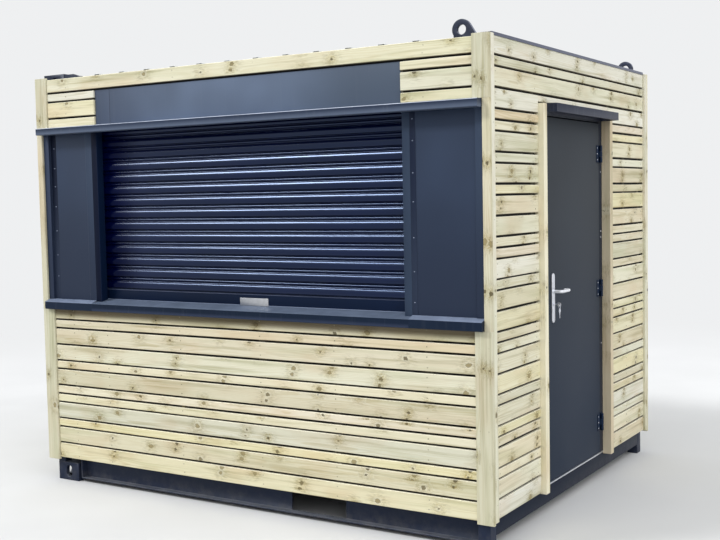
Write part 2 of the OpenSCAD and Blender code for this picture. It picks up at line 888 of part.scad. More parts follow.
module hinge_moving() {
    third = hinge_h / 3;
    color([0.1, 0.11, 0.14])
        for (z = hinge_z)
            difference() {
                union() {
                    knuckle(z - third / 2, z + third / 2, -1, 0);
                    box([leaf_x1, axis_y - 50, z - hinge_h / 2], [leaf_x1 + 4, axis_y - 14, z + hinge_h / 2]);
                }
                translate([axis_x, axis_y, z - hinge_h / 2 - 1])
                    cylinder(r = pin_r + 0.06, h = hinge_h + 2);
            }
}

module door_leaf() {
    color([0.2, 0.21, 0.22])
        box([leaf_x0, leaf_y, leaf_z], [leaf_x1, leaf_y2, leaf_z + leaf_h]);
}

// Outline of a long backplate with round ends, in y and z about the lever's pivot
module plate_outline() {
    union() {
        translate([-20, -157])
            square([40, 240]);
        for (z = [-157, 83])
            translate([0, z])
                circle(r = 20);
    }
}

module handle_plates() {
    color([0.75, 0.76, 0.78]) {
        translate([leaf_x1, plate_y, lever_z])
            rotate([90, 0, 90])
                linear_extrude(9)
                    plate_outline();
        translate([leaf_x0 - 9, plate_y, lever_z])
            rotate([90, 0, 90])
                linear_extrude(9)
                    plate_outline();
    }
}

module lock_and_key() {
    x0 = leaf_x1 + 9;
    z0 = lever_z - 72;
    color([0.72, 0.73, 0.74])
        union() {
            translate([x0, plate_y, z0])
                rotate([0, 90, 0])
                    cylinder(r = 8.5, h = 5);
            box([x0 + 3, plate_y - 1.25, z0 - 4], [x0 + 22, plate_y + 1.25, z0 + 4]);
            translate([x0 + 31, plate_y - 1.25, z0])
                rotate([-90, 0, 0])
                    difference() {
                        cylinder(r = 12, h = 2.5);
                        translate([4, 0, -1])
                            cylinder(r = 3.5, h = 5);
                    }
        }
}

// A lever with a bend at its neck and a return at its tip, standing out along +x
module lever_arm() {
    r = 9;
    bend = 18;
    out = 49;
    union() {
        rotate([0, 90, 0])
            cylinder(r = r, h = out - bend);
        translate([out - bend, bend, 0])
            rotate([0, 0, -90])
                rotate_extrude(angle = 90)
                    translate([bend, 0])
                        circle(r = r);
        translate([out, bend, 0])
            rotate([-90, 0, 0])
                cylinder(r = r, h = lever_l - r - 2 * bend);
        translate([out - bend, lever_l - r - bend, 0])
            rotate_extrude(angle = 90)
                translate([bend, 0])
                    circle(r = r);
        translate([out - bend - 14, lever_l - r, 0])
            rotate([0, 90, 0])
                cylinder(r = r, h = 14);
    }
}

module lever() {
    color([0.78, 0.79, 0.8]) {
        translate([leaf_x1 + 9.3, plate_y, lever_z])
            lever_arm();
        translate([leaf_x0 - 9.3, plate_y, lever_z])
            mirror([1, 0, 0])
                lever_arm();
    }
}

place() base_castings();
place() top_castings();
place() base_rails_long();
place() base_rails_short();
place() cross_members();
place() floor_deck();
place() corner_posts();
place() top_rails_long();
place() top_rails_short();
place() wall_front_lower();
place() wall_front_piers();
place() wall_front_upper();
place() wall_back();
place() wall_left();
place() wall_right_near();
place() wall_right_far();
place() wall_right_head();
place() ceiling_panel();
place() roof_sheet();
place() roof_flashings();
place() lifting_lugs();
place() cladding_front_lower();
place() cladding_front_upper();
place() cladding_left();
place() cladding_back();
place() cladding_right_near();
place() cladding_right_far();
place() cladding_right_top();
place() corner_trims();
place() door_battens();
place() door_jambs();
place() door_head();
place() door_sill();
place() door_cap();
place() canopy();
place() counter_ends();
place() counter_centre();
place() side_panels();
place() fascia_panel();
place() shutter_guides();
place() shutter_curtain();
place() shutter_bottom_rail();
place() name_plate();
place() shutter_roll();
place() roll_brackets();
place() hinge_fixed();
place() door_leaf();
place() hinge_moving();
place() handle_plates();
place() lock_and_key();
place() lever();
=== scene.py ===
"""Looks of the serving kiosk: timber boards, painted steel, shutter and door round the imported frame."""
import math
from functools import partial, reduce

import bmesh
import bpy
import numpy as np
from mathutils import Matrix, Vector


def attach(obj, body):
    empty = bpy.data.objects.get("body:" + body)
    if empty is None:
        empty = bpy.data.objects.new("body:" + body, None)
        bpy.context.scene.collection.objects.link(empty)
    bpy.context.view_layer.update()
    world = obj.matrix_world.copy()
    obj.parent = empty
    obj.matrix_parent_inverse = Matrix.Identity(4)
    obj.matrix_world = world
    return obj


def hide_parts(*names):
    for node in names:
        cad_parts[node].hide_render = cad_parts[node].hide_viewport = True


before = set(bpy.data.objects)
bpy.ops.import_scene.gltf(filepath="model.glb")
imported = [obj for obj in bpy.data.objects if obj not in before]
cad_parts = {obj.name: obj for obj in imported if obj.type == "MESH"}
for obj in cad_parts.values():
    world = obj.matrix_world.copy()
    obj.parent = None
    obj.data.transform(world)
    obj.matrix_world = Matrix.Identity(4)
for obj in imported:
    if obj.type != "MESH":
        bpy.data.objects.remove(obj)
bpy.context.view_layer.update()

# Shop sizes in mm: x from the left trims' outer face, y from the front trims' face, z from the ground
ORIGIN = np.array([1633.0, 1238.5, 0.0])
WIDTH = 3195.0
DEPTH = 2525.0
SKIN = 43.0
BASE = 142.0
TRIM_TOP = 2598.0
TRIM_FRONT = 98.0
TRIM_SIDE = 60.0
STRIP_THICK = 25.0
BOARD_THICK = 20.0
BOARD_FRONT_SET = 8.0
BOARD_SIDE_SET = 16.0
BOARD_WIDE = 96.0
BOARD_NARROW = 47.3
BOARD_GAP = 8.5
BOARD_START = 151.3
FRONT_TOP = 2588.0
SIDE_TOP = 2597.0
SIDE_LOW = BOARD_START + 4
PAPER_FACE = 41.0
CANOPY_LOW = 2237.0
CANOPY_TOP = 2279.0
CANOPY_OUT = 48.0
COUNTER_TOP = 1190.0
COUNTER_BACK = 1193.0
COUNTER_INNER = 103.0
RAIL_HIGH = 72.5
LATH_HIGH = 73.2
LATH_BACK = 88.0
HATCH_TOP = 2302.0
LIP_TOP = 1174.0
COUNTER_LOW = 1126.0
COUNTER_OUT = 25.0
SLOPE_END = 72.0
SHEET_THICK = 2.5
PANEL_FACE = 20.0
SURROUND_IN = 45.0
GUIDE_IN = 463.0
GUIDE_OUT = 508.0
BAY_NEAR = 695.0
BAY_FAR = 1712.0
BATTEN = 49.0
BATTEN_OUT = 15.0
CAP_TOP = 2293.0
DOOR_COURSE = 26
TOP_COURSE = 29
SILL_COURSE = 11
LEAF_FACE = 3160.0
LEAF_BACK = 3116.0
LEAF_NEAR = 800.0
LEAF_FAR = 1645.0
JAMB_FACE = 3155.0
HINGE_Y = 1647.5
HINGE_HEIGHTS = (367, 1211, 2042)
PLATE_Y = 870.0
PLATE_OUT = 9.0
LEVER_Z = 1254.0
RIDGES = 305.0 + 205.0 * np.arange(14)
COURSES = "WWNWNNWNWWNNWWNWNNWWNWNWNNWWNW"

X = np.array([1.0, 0.0, 0.0])
Y = np.array([0.0, 1.0, 0.0])
Z = np.array([0.0, 0.0, 1.0])

# Tones of pressure-treated softwood, as written screen colours
TONES = {
    "cream": (234, 228, 202),
    "straw": (234, 228, 196),
    "yellow": (235, 228, 190),
    "khaki": (221, 215, 187),
    "sage": (213, 210, 186),
    "grey_green": (224, 221, 199),
    "pale_green": (230, 228, 206),
    "tan": (227, 219, 193),
    "pink": (230, 220, 199),
    "honey": (230, 215, 184),
    "chalk": (235, 233, 219),
    # The last two are lit and shaded copies of the battens' timber: painted light on the near one, painted
    # shade on the far one
    "painted_shade_brown": (220, 207, 180),
    "painted_lit_pale": (248, 242, 218),
}


def metres(points):
    """Shop millimetres to frame metres: the origin is taken off and the rest divided by a thousand."""
    return (np.asarray(points, float) - ORIGIN) / 1000.0


def linear(rgb):
    """Screen colour to linear light: a power curve above 0.04045 and a straight line below it."""
    c = np.asarray(rgb, float) / 255.0
    return np.where(c > 0.04045, ((c + 0.055) / 1.055) ** 2.4, c / 12.92)


def paint(rgb):
    """A written screen colour as the four numbers a colour socket takes."""
    return tuple(linear(rgb)) + (1.0,)


def unit(v):
    """Vectors divided by their lengths."""
    return v / np.maximum(np.linalg.norm(v, axis=-1, keepdims=True), 1e-12)


def at(x, y, z):
    """Points from three coordinates, each of them one number or many."""
    return np.stack(np.broadcast_arrays(x, y, z), -1).astype(float)


def new_object(name, data):
    """An object in the scene that shows some data."""
    obj = bpy.data.objects.new(name, data)
    bpy.context.scene.collection.objects.link(obj)
    return obj


class Shell:
    """Points, face corners' normals, quads and end faces gathered before they become one mesh."""

    def __init__(self):
        self.points = []
        self.grain = []
        self.tint = []
        self.faces = []
        self.normals = []
        self.count = 0

    def add(self, points, normals, quads, caps=None, cap_normals=None, grain=None, tint=None):
        """Adds arrays: points and their normals, quads, and end faces with one normal each."""
        points = points.reshape(-1, 3)
        blank = np.zeros_like(points)
        self.points.append(points)
        self.grain.append(blank if grain is None else grain.reshape(-1, 3))
        self.tint.append(blank if tint is None else tint.reshape(-1, 3))
        self.faces.extend((quads + self.count).tolist())
        self.normals.append(normals.reshape(-1, 3)[quads.ravel()])
        if caps is not None:
            self.faces.extend((caps + self.count).tolist())
            self.normals.append(np.repeat(cap_normals, caps.shape[1], axis=0))
        self.count += len(points)

    def piece(self, name, material, slot, *stands_for, body="kiosk"):
        """Makes the gathered arrays one object that rides on a body and may stand for CAD nodes."""
        mesh = bpy.data.meshes.new(name)
        mesh.from_pydata(metres(np.concatenate(self.points)).tolist(), [], self.faces)
        mesh.polygons.foreach_set("use_smooth", np.ones(len(mesh.polygons), bool))
        grain = np.concatenate(self.grain)
        if grain.any():
            mesh.attributes.new("grain", "FLOAT_VECTOR", "POINT").data.foreach_set("vector", grain.ravel())
        tint = np.concatenate(self.tint)
        if tint.any():
            tint = np.column_stack([tint, np.ones(len(tint))])
            mesh.attributes.new("tint", "FLOAT_COLOR", "POINT").data.foreach_set("color", tint.ravel())
        mesh.update()
        mesh.normals_split_custom_set(unit(np.concatenate(self.normals)).tolist())
        obj = new_object(name, mesh)
        mesh.materials.append(material)
        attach(obj, body)
        if stands_for:
            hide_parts(*stands_for)


def ring_quads(rings, around, flip=False):
    """Quads between neighbouring closed rings of a grid, counted ring by ring."""
    i = np.arange(rings - 1)[:, None]
    k = np.arange(around)[None, :]
    j = (k + 1) % around
    quads = np.stack([i * around + k, i * around + j, (i + 1) * around + j, (i + 1) * around + k], -1)
    quads = quads.reshape(-1, 4)
    return quads[:, ::-1] if flip else quads


def tubes(shell, points, normals, first, last, flip=False, grain=None, tint=None):
    """Closed rings joined to tubes, all at once: points by tube, by ring and by place round the ring,
    and a flat face over each end that faces `first` or `last`."""
    n, rings, around = points.shape[:3]
    offset = np.arange(n)[:, None, None] * rings * around
    quads = (ring_quads(rings, around, flip)[None] + offset).reshape(-1, 4)
    start = np.arange(around)[::-1][None] + offset[:, 0]
    end = np.arange(around)[None] + (rings - 1) * around + offset[:, 0]
    caps = np.concatenate([start, end])
    cap_normals = np.concatenate([np.tile(first, (n, 1)), np.tile(last, (n, 1))])
    shell.add(points, normals, quads, caps[:, ::-1] if flip else caps, cap_normals, grain, tint)


def circles(first, second, segments, squash=1.0):
    """Rings of directions: cos a times the first direction plus squash times sin a times the second."""
    a = np.linspace(0, 2 * math.pi, segments, endpoint=False)[:, None]
    return np.cos(a) * first[:, None] + np.sin(a) * second[:, None] * squash


def planks(shell, starts, along, across, outward, lengths, widths, thick, tones, tones_end, rng,
        ease=1.6, radius=3.0, warp=0.15, stations=14):
    """Boards as rounded rectangles carried along straight lines, all boards at once.

    A section point is a corner centre plus radius times (cos a, sin a); the centres lie radius plus
    shrink inside the edges, and shrink is `ease` at both ends and nothing between. The path is
    start + along * s + across * crook(s) + outward * bow(s), half and whole sine waves over the length.
    """
    starts = np.atleast_2d(np.asarray(starts, float))
    n = len(starts)
    lengths = np.broadcast_to(np.asarray(lengths, float), n)[:, None]
    widths = np.broadcast_to(np.asarray(widths, float), n)[:, None, None]
    inner = np.linspace(0, 1, stations - 2)[None, :] * (lengths - 2 * ease) + ease
    s = np.concatenate([np.zeros((n, 1)), inner, lengths], 1)
    shrink = np.zeros((stations, 1))
    shrink[[0, -1]] = ease
    angle = np.radians(np.add.outer([0, 90, 180, 270], [0, 30, 60, 90]).ravel())
    sign_a = np.repeat([1, -1, -1, 1], 4)
    sign_o = np.repeat([1, 1, -1, -1], 4)
    pa = sign_a * (widths / 2 - radius - shrink) + radius * np.cos(angle)
    po = sign_o * (thick / 2 - radius - shrink) + radius * np.sin(angle)
    pa, po = np.broadcast_arrays(pa, po)
    phase = s / lengths * math.pi
    crook = rng.normal(0, warp, (n, 1)) * np.sin(phase)
    bow = rng.normal(0, warp * 0.6, (n, 1)) * np.sin(phase)
    bow = bow + rng.normal(0, warp * 0.4, (n, 1)) * np.sin(2 * phase)
    a = pa + crook[..., None]
    o = po + bow[..., None]
    points = (starts[:, None, None, :] + along * s[..., None, None] + across * a[..., None]
            + outward * o[..., None])
    flat = np.cos(angle)[:, None] * across + np.sin(angle)[:, None] * outward
    normals = np.broadcast_to(flat, points.shape).copy()
    normals[:, 0] -= along * 0.8
    normals[:, -1] += along * 0.8
    pith = np.stack([rng.uniform(0, 40000, n), rng.uniform(-55, 55, n), rng.uniform(12, 90, n)], -1)
    grain = np.stack([np.broadcast_to(s[..., None], a.shape), pa, po], -1) + pith[:, None, None, :]
    tones = linear(tones).reshape(n, 1, 1, 3)
    tones_end = linear(tones_end).reshape(n, 1, 1, 3)
    tint = np.broadcast_to(tones + (tones_end - tones) * (s / lengths)[..., None, None], points.shape)
    flip = np.dot(along, np.cross(across, outward)) < 0
    tubes(shell, points, unit(normals), -along, along, flip, grain / 1000.0, tint)


def turned(shell, centres, axis, profile, segments, turn=0.0):
    """Turned shapes, all at once: for a profile point of radius r and height h, at angle a,
    centre + axis * h + r * (cos a * side + sin a * axis x side). The profile runs from the top's
    middle outwards and down, and a flat face closes each end."""
    centres = np.atleast_2d(np.asarray(centres, float))
    radius, height = np.asarray(profile, float).T[:, :, None, None]
    side = unit(np.cross(axis, X if abs(axis[0]) < 0.5 else Z))
    turn = np.broadcast_to(turn, len(centres))[:, None]
    a = turn + np.linspace(0, 2 * math.pi, segments, endpoint=False)
    radial = np.cos(a)[..., None] * side + np.sin(a)[..., None] * np.cross(axis, side)
    radial = radial[:, None]
    points = centres[:, None, None, :] + axis * height + radial * radius
    normals = unit(np.gradient(radius, axis=0) * axis - np.gradient(height, axis=0) * radial)
    tubes(shell, points, normals, axis, -axis, True)


def swept(shell, path, radii, segments=20, squash=1.0):
    """A round bar: at each path point, rings of radius r across the path's direction, squashed
    along the second cross direction, with a flat face at each end."""
    tangent = unit(np.gradient(path, axis=0))
    first = unit(np.cross(tangent, Z + 0.001 * X))
    second = np.cross(tangent, first)
    points = path[:, None] + circles(first, second, segments, squash) * radii[:, None, None]
    normals = unit(circles(first, second, segments, 1 / squash))
    tubes(shell, points[None], normals, -tangent[0], tangent[-1])


def bent_line(corners, radius, steps):
    """Points (y, z) and unit normals along a line through corners, its inner corners rounded by
    arcs. The normal lies on the left of the way; an arc runs from P - in * r * tan(h) to
    P + out * r * tan(h), h being half the turn, and its normals turn evenly."""
    corners = np.asarray(corners, float)
    way = unit(np.diff(corners, axis=0))
    left = np.column_stack([-way[:, 1], way[:, 0]])
    points = [corners[0]]
    normals = [left[0]]
    for k in range(1, len(corners) - 1):
        turn = math.asin(np.clip(way[k - 1, 0] * way[k, 1] - way[k - 1, 1] * way[k, 0], -1, 1))
        start = corners[k] - way[k - 1] * radius * abs(math.tan(turn / 2))
        centre = start + math.copysign(radius, turn) * left[k - 1]
        angle = np.linspace(0, turn, steps)[:, None]
        normal = left[k - 1] * np.cos(angle) - way[k - 1] * np.sin(angle)
        points.extend(centre - math.copysign(radius, turn) * normal)
        normals.extend(normal)
    points.append(corners[-1])
    normals.append(left[-1])
    return np.array(points), np.array(normals)


def sheet_along_x(shell, front, normals, xs, thick=SHEET_THICK):
    """A thin sheet: its outer line (y, z) carried along x, its inner line `thick` against the
    normals, and both joined round the edges and over the two ends."""
    section = np.concatenate([front, (front - normals * thick)[::-1]])
    facing = np.concatenate([normals, -normals[::-1]])
    n = len(section)
    points = at(np.asarray(xs)[:, None], section[:, 0], section[:, 1])
    face = np.broadcast_to(at(0.0, facing[:, 0], facing[:, 1]), points.shape)
    k = np.arange(len(front) - 1)
    ladder = np.stack([k, k + 1, n - 2 - k, n - 1 - k], -1)
    ends = np.concatenate([ladder, ladder[:, ::-1] + (len(xs) - 1) * n])
    end_normals = np.repeat(np.array([-X, X]), len(ladder), axis=0)
    shell.add(points, face, ring_quads(len(xs), n, True), ends, end_normals)


def box(shell, low, high):
    """A plain thin box between its low and high corner, for sheets that only show in shadow."""
    pick = np.array([[i >> 2 & 1, i >> 1 & 1, i & 1] for i in range(8)])
    corners = np.array([[0, 1, 3, 2], [4, 6, 7, 5], [0, 4, 5, 1], [2, 3, 7, 6], [0, 2, 6, 4], [1, 5, 7, 3]])
    facing = np.array([-X, X, -Y, Y, -Z, Z])
    points = np.where(pick == 1, high, low)[corners].astype(float)
    shell.add(points, np.repeat(facing, 4, axis=0), np.arange(24).reshape(6, 4))


# Materials

def put(node, inputs):
    """Links outputs into a node's inputs, or sets the inputs to constants."""
    for key, value in inputs.items():
        if isinstance(value, bpy.types.NodeSocket):
            node.id_data.links.new(value, node.inputs[key])
        elif value is not None:
            node.inputs[key].default_value = value


def add_node(near, kind, inputs, **settings):
    """A shader node in the same tree as a node or socket, with its settings and inputs."""
    node = near.id_data.nodes.new("ShaderNode" + kind)
    for key, value in settings.items():
        setattr(node, key, value)
    put(node, inputs)
    return node


def new_material(name):
    """An empty node material and its shader."""
    material = bpy.data.materials.new(name)
    material.use_nodes = True
    material.node_tree.nodes.clear()
    shader = material.node_tree.nodes.new("ShaderNodeBsdfPrincipled")
    add_node(shader, "OutputMaterial", {0: shader.outputs[0]})
    return material, shader


def calc(operation, a, b=None, clamp=False):
    """One step of arithmetic on values."""
    return add_node(a, "Math", {0: a, 1: b}, operation=operation, use_clamp=clamp).outputs[0]


def times(first, *others):
    """Values multiplied together."""
    return reduce(partial(calc, "MULTIPLY"), others, first)


def plus(first, *others):
    """Values added together."""
    return reduce(partial(calc, "ADD"), others, first)


def vector_step(operation, output, *vectors):
    """One step of arithmetic on vectors."""
    node = add_node(vectors[0], "VectorMath", dict(enumerate(vectors)), operation=operation)
    return node.outputs[output]


def noise(vector, scale, detail=2.0, rough=0.5, shift=(0, 0, 0), distortion=0.0):
    """A cloudy value between nothing and one; three scales stretch it along the axes."""
    if isinstance(scale, tuple):
        vector = vector_step("MULTIPLY_ADD", "Vector", vector, scale, shift)
        scale = 1.0
    inputs = {"Scale": scale, "Detail": detail, "Roughness": rough, "Distortion": distortion}
    return add_node(vector, "TexNoise", {"Vector": vector, **inputs}).outputs[0]


def step(value, low, high, to_low=0.0, to_high=1.0):
    """A smooth step: to_low below `low`, to_high above `high`."""
    inputs = {"Value": value, "From Min": low, "From Max": high, "To Min": to_low, "To Max": to_high}
    return add_node(value, "MapRange", inputs, interpolation_type="SMOOTHSTEP").outputs[0]


def fall(value, low, high):
    """A smooth step down: one below `low`, nothing above `high`."""
    return step(value, low, high, 1.0, 0.0)


def within(value, low, high, edge):
    """One between two values and nothing outside, each of them passed over a soft edge."""
    return times(step(value, low - edge, low + edge), fall(value, high - edge, high + edge))


def ramp(value, start, end):
    """Nothing at the start and one at the end, whichever of them is higher."""
    return step(value, start, end) if start < end else fall(value, end, start)


def mixed(share, a, b, how="MIX"):
    """Two colours mixed by a share; three numbers are a written screen colour."""
    a, b = (paint(c) if isinstance(c, tuple) and len(c) == 3 else c for c in (a, b))
    return add_node(share, "Mix", {0: share, 6: a, 7: b}, data_type="RGBA", blend_type=how).outputs[2]


def layered(colour, how, *layers):
    """Tones laid over a colour one after another, each by its own share."""
    for share, tone in layers:
        colour = mixed(share, colour, tone, how)
    return colour


def bump(height, distance, strength=1.0):
    """The direction of a surface raised by a height, `distance` metres for a height of one."""
    return add_node(height, "Bump", {"Height": height, "Distance": distance, "Strength": strength}).outputs[0]


def place_of(shader):
    """The piece's own coordinates in metres."""
    return add_node(shader, "TexCoord", {}).outputs["Object"]


def facing_of(shader):
    """The way the surface faces."""
    return add_node(shader, "NewGeometry", {}).outputs["Normal"]


def split(vector):
    """The three parts of a vector."""
    return add_node(vector, "SeparateXYZ", {0: vector}).outputs


def shop_place(where, axis):
    """The place along one axis in shop millimetres."""
    return plus(times(split(where)[axis], 1000.0), ORIGIN[axis])


def painted_shade_under_counter(shader, facing_y):
    """How strongly the front boards are darkened by painted shade right under the counter's lip."""
    where = place_of(shader)
    along = shop_place(where, 0)
    height = shop_place(where, 2)
    return times(step(height, COUNTER_LOW - 62, COUNTER_LOW - 18, 0.0, 0.85),
            fall(height, COUNTER_LOW + 4, COUNTER_LOW + 6), fall(facing_y, -0.95, -0.75),
            within(along, TRIM_FRONT, WIDTH - TRIM_FRONT, 4))


def make_timber():
    """Pressure-treated softwood: growth rings round a pith, bent by knots, over each board's own tint, with a
    painted highlight on faces that look up and painted shade on faces that look down and right under the
    counter's lip.
    """
    material, shader = new_material("treated_timber")
    grain = add_node(shader, "Attribute", {}, attribute_name="grain").outputs["Vector"]
    tint = add_node(shader, "Attribute", {}, attribute_name="tint").outputs["Color"]
    across, depth = split(grain)[1:3]

    spot = vector_step("MULTIPLY_ADD", "Vector", grain, (2.7, 8.5, 0.0), (0, 0, 0))
    inputs = {"Vector": spot, "Scale": 1.0, "Randomness": 0.85}
    cell = add_node(spot, "TexVoronoi", inputs, voronoi_dimensions="2D").outputs
    away = vector_step("SUBTRACT", "Vector", spot, cell["Position"])
    chance = add_node(spot, "SeparateColor", {0: cell["Color"]}).outputs
    size = step(chance[2], 0.0, 1.0, 0.0040, 0.0125)
    edges = []
    for shift, share, threshold, channel in (((0, 0, 0), 1.0, 0.14, 0), ((0.009, 0.034, 0), 0.8, 0.28, 1)):
        off = vector_step("MULTIPLY_ADD", "Vector", away, (0.29, 0.1176, 0.0), shift)
        edge = calc("SUBTRACT", vector_step("LENGTH", "Value", off), times(size, share))
        edges.append(plus(edge, fall(chance[channel], threshold, threshold + 0.01)))
    wobble = calc("SUBTRACT", noise(grain, (70.0, 110.0, 110.0), 4.0, 0.6), 0.5)
    edge = plus(calc("MINIMUM", *edges), times(wobble, 0.022))
    knot = fall(edge, -0.0015, 0.0012)
    rim = fall(calc("ABSOLUTE", edge), 0.0, 0.0022)
    near = fall(edge, 0.0, 0.038)
    smudge = step(noise(grain, (30.0, 130.0, 130.0), 4.0, 0.65, (5, 1, 9)), 0.42, 0.66)
    smudge = times(smudge, fall(edge, 0.0, 0.070))
    resin = times(fall(edge, 0.001, 0.022), step(chance[0], 0.72, 0.80))

    slow = noise(grain, (1.6, 9.0, 9.0))
    ripple = noise(grain, (7.0, 30.0, 30.0))
    far = calc("SQRT", plus(times(across, across), times(depth, depth)))
    field = plus(far, times(slow, 0.020), times(ripple, 0.0035), times(near, 0.018))
    turn = calc("FRACT", times(field, 235.0))
    wide = noise(grain, (0.9, 5.0, 5.0), 1.0, 0.5, (7, 3, 1))
    late = times(step(turn, 0.35, 0.86), fall(turn, 0.90, 1.0), step(wide, 0.35, 0.65, 0.35, 1.0))
    fibre = noise(grain, (9.0, 620.0, 620.0), 3.0, 0.6)
    streak = noise(grain, (1.5, 38.0, 38.0), 3.0, 0.55)
    blotch = noise(grain, (2.4, 6.0, 6.0), 3.0, 0.5, (3, 9, 5))
    green = noise(grain, (1.3, 14.0, 14.0), 2.0, 0.5, (11, 2, 8))

    colour = layered(tint, "MULTIPLY",
            (times(late, step(near, 0.1, 1.0, 0.34, 0.95)), (218, 204, 162)),
            (step(blotch, 0.46, 0.74, 0.0, 0.45), (238, 220, 204)),
            (step(green, 0.48, 0.72, 0.0, 0.55), (224, 227, 210)),
            (step(streak, 0.48, 0.74, 0.0, 0.70), (206, 203, 184)),
            (step(fibre, 0.30, 0.75, 0.0, 0.12), (206, 198, 168)),
            (times(near, 0.30), (214, 205, 166)),
            (times(smudge, 0.50), (150, 142, 116)))
    heart = mixed(step(chance[2], 0.55, 0.80), (84, 74, 46), (150, 136, 94))
    facing = split(facing_of(shader))
    colour = layered(colour, "MIX",
            (times(resin, 0.35), (238, 235, 216)),
            (times(knot, 0.85), heart),
            (times(rim, 0.60), (86, 76, 48)),
            # painted highlight: faces that look up are turned pale
            (step(facing[2], 0.15, 0.75, 0.0, 0.55), (244, 240, 222)))
    colour = layered(colour, "MULTIPLY",
            # painted shade: faces that look down are darkened
            (step(facing[2], -0.75, -0.25, 0.85, 0.0), (96, 86, 76)),
            # painted shade right under the counter's lip
            (painted_shade_under_counter(shader, facing[1]), (112, 98, 82)))
    height = plus(times(late, 0.5), times(fibre, 0.5))
    put(shader, {"Base Color": colour, "Roughness": step(late, 0.0, 1.0, 0.72, 0.58),
            "Specular IOR Level": 0.3, "Normal": bump(height, 0.0004, 0.8)})
    return material


def make_steel(name, rgb, rough, specular=0.25, peel=0.00012, cloud=0.05, dirt=0.0, dust=0.0, dust_top=0.9,
        wear=0.0, streaks=0.0, painted_top_reflection=None, painted_top_reflection_share=0.8, painted_light_and_joint_bands=(), rise=None, painted_reflection_drifts=(), dull=None,
        sheen_tint=(0.78, 0.86, 1.0, 1.0), band_edge=0.3):
    """Painted steel: faint clouds and orange peel, dust on low places, a painted sky reflection on faces
    that look up, chips along edges, bands of another tone between two distances x along the front
    (painted reflection and shade on the surround panels and guides, a dark joint on the fascia), a tone
    that comes in between two heights (painted reflection on the counter lip, panels and door, a painted
    highlight on the bottom rail's lower edge), painted reflection that comes in from one distance to
    another, and a dull end whose gloss comes in between two distances."""
    material, shader = new_material(name)
    where = place_of(shader)
    along = shop_place(where, 0)
    clouds = noise(where, 1.7)
    base = np.array(rgb, float)
    darker = paint(base * (1 - cloud))
    lighter = paint(np.minimum(base * (1 + cloud), 255))
    colour = mixed(step(clouds, 0.3, 0.7), darker, lighter)
    # painted reflection: tones that come in along the front
    for start, end, tone in painted_reflection_drifts:
        colour = mixed(ramp(along, start, end), colour, tone)
    # bands of another tone: painted reflection and shade on the panels and guides, a dark joint on the fascia
    for x0, x1, tone in painted_light_and_joint_bands:
        colour = mixed(within(along, x0, x1, band_edge), colour, tone)
    if rise:
        start, end, tone = rise
        colour = mixed(ramp(shop_place(where, 2), start, end), colour, tone)
    sheen = step(clouds, 0.3, 0.7, rough - 0.03, rough + 0.04)
    if dirt:
        spots = noise(where, 24.0, 4.0, 0.6)
        colour = mixed(step(spots, 0.40, 0.75, 0.0, dirt), colour, (112, 112, 112))
        sheen = plus(sheen, step(spots, 0.4, 0.7, 0.0, 0.08))
    if streaks:
        run = noise(where, (46.0, 46.0, 1.6), 3.0, 0.55)
        colour = mixed(step(run, 0.52, 0.78, 0.0, streaks), colour, (136, 140, 146))
    if dust:
        patch = step(noise(where, 11.0, 5.0, 0.65), 0.40, 0.72)
        cover = times(fall(split(where)[2], 0.02, dust_top), patch, dust)
        colour = mixed(cover, colour, (132, 128, 120))
        sheen = plus(sheen, times(cover, 0.35))
    # painted sky reflection: faces that look up are turned towards a pale tone
    if painted_top_reflection:
        patch = step(noise(where, 9.0, 4.0, 0.6), 0.30, 0.70, painted_top_reflection_share - 0.18, painted_top_reflection_share + 0.08)
        cover = times(step(split(facing_of(shader))[2], 0.12, 0.50), patch)
        colour = mixed(cover, colour, painted_top_reflection)
        sheen = plus(sheen, times(cover, 0.12))
    if wear:
        rounded = add_node(shader, "Bevel", {"Radius": 0.004}, samples=4).outputs[0]
        edge = fall(vector_step("DOT_PRODUCT", "Value", rounded, facing_of(shader)), 0.90, 0.995)
        chip = step(noise(where, 55.0, 4.0, 0.7), 0.50, 0.62)
        colour = mixed(times(edge, chip, wear), colour, (120, 92, 70))
    gloss = step(along, *dull, 0.15 * specular, specular) if dull else specular
    put(shader, {"Base Color": colour, "Roughness": sheen, "Specular IOR Level": gloss,
            "Specular Tint": sheen_tint, "Normal": bump(noise(where, 420.0, 2.0, 0.6), peel)})
    return material


def make_brushed(name, rgb, rough, lines=(900.0, 900.0, 30.0), metallic=1.0):
    """Brushed metal: fine lines along one direction over a bare metal colour."""
    material, shader = new_material(name)
    where = place_of(shader)
    line = noise(where, lines, 2.0, 0.6)
    colour = mixed(step(noise(where, 45.0, 3.0), 0.3, 0.75, 0.0, 0.25), rgb, (150, 150, 150))
    put(shader, {"Base Color": colour, "Roughness": step(line, 0.25, 0.75, rough - 0.07, rough + 0.10),
            "Metallic": metallic, "Normal": bump(line, 0.00003, 0.7)})
    return material


def make_board(name, rgb, dark, scale, rough, amount, darker_underside=False):
    """Sheet board: long faint figures along the first axis over a flat colour, and a dark colour on
    the faces that look down where the last argument asks for it."""
    material, shader = new_material(name)
    where = place_of(shader)
    figure = noise(where, scale, 4.0, 0.6, distortion=0.4)
    cloud = noise(where, 3.1, 3.0)
    colour = mixed(step(figure, 0.35, 0.75, 0.0, amount), rgb, dark)
    colour = mixed(step(cloud, 0.4, 0.8, 0.0, 0.2), colour, dark)
    if darker_underside:
        colour = mixed(fall(split(facing_of(shader))[2], -0.6, -0.4), colour, (30, 34, 44))
    put(shader, {"Base Color": colour, "Roughness": step(cloud, 0.3, 0.7, rough - 0.05, rough + 0.08),
            "Normal": bump(noise(where, 320.0), 0.00015, 0.8)})
    return material


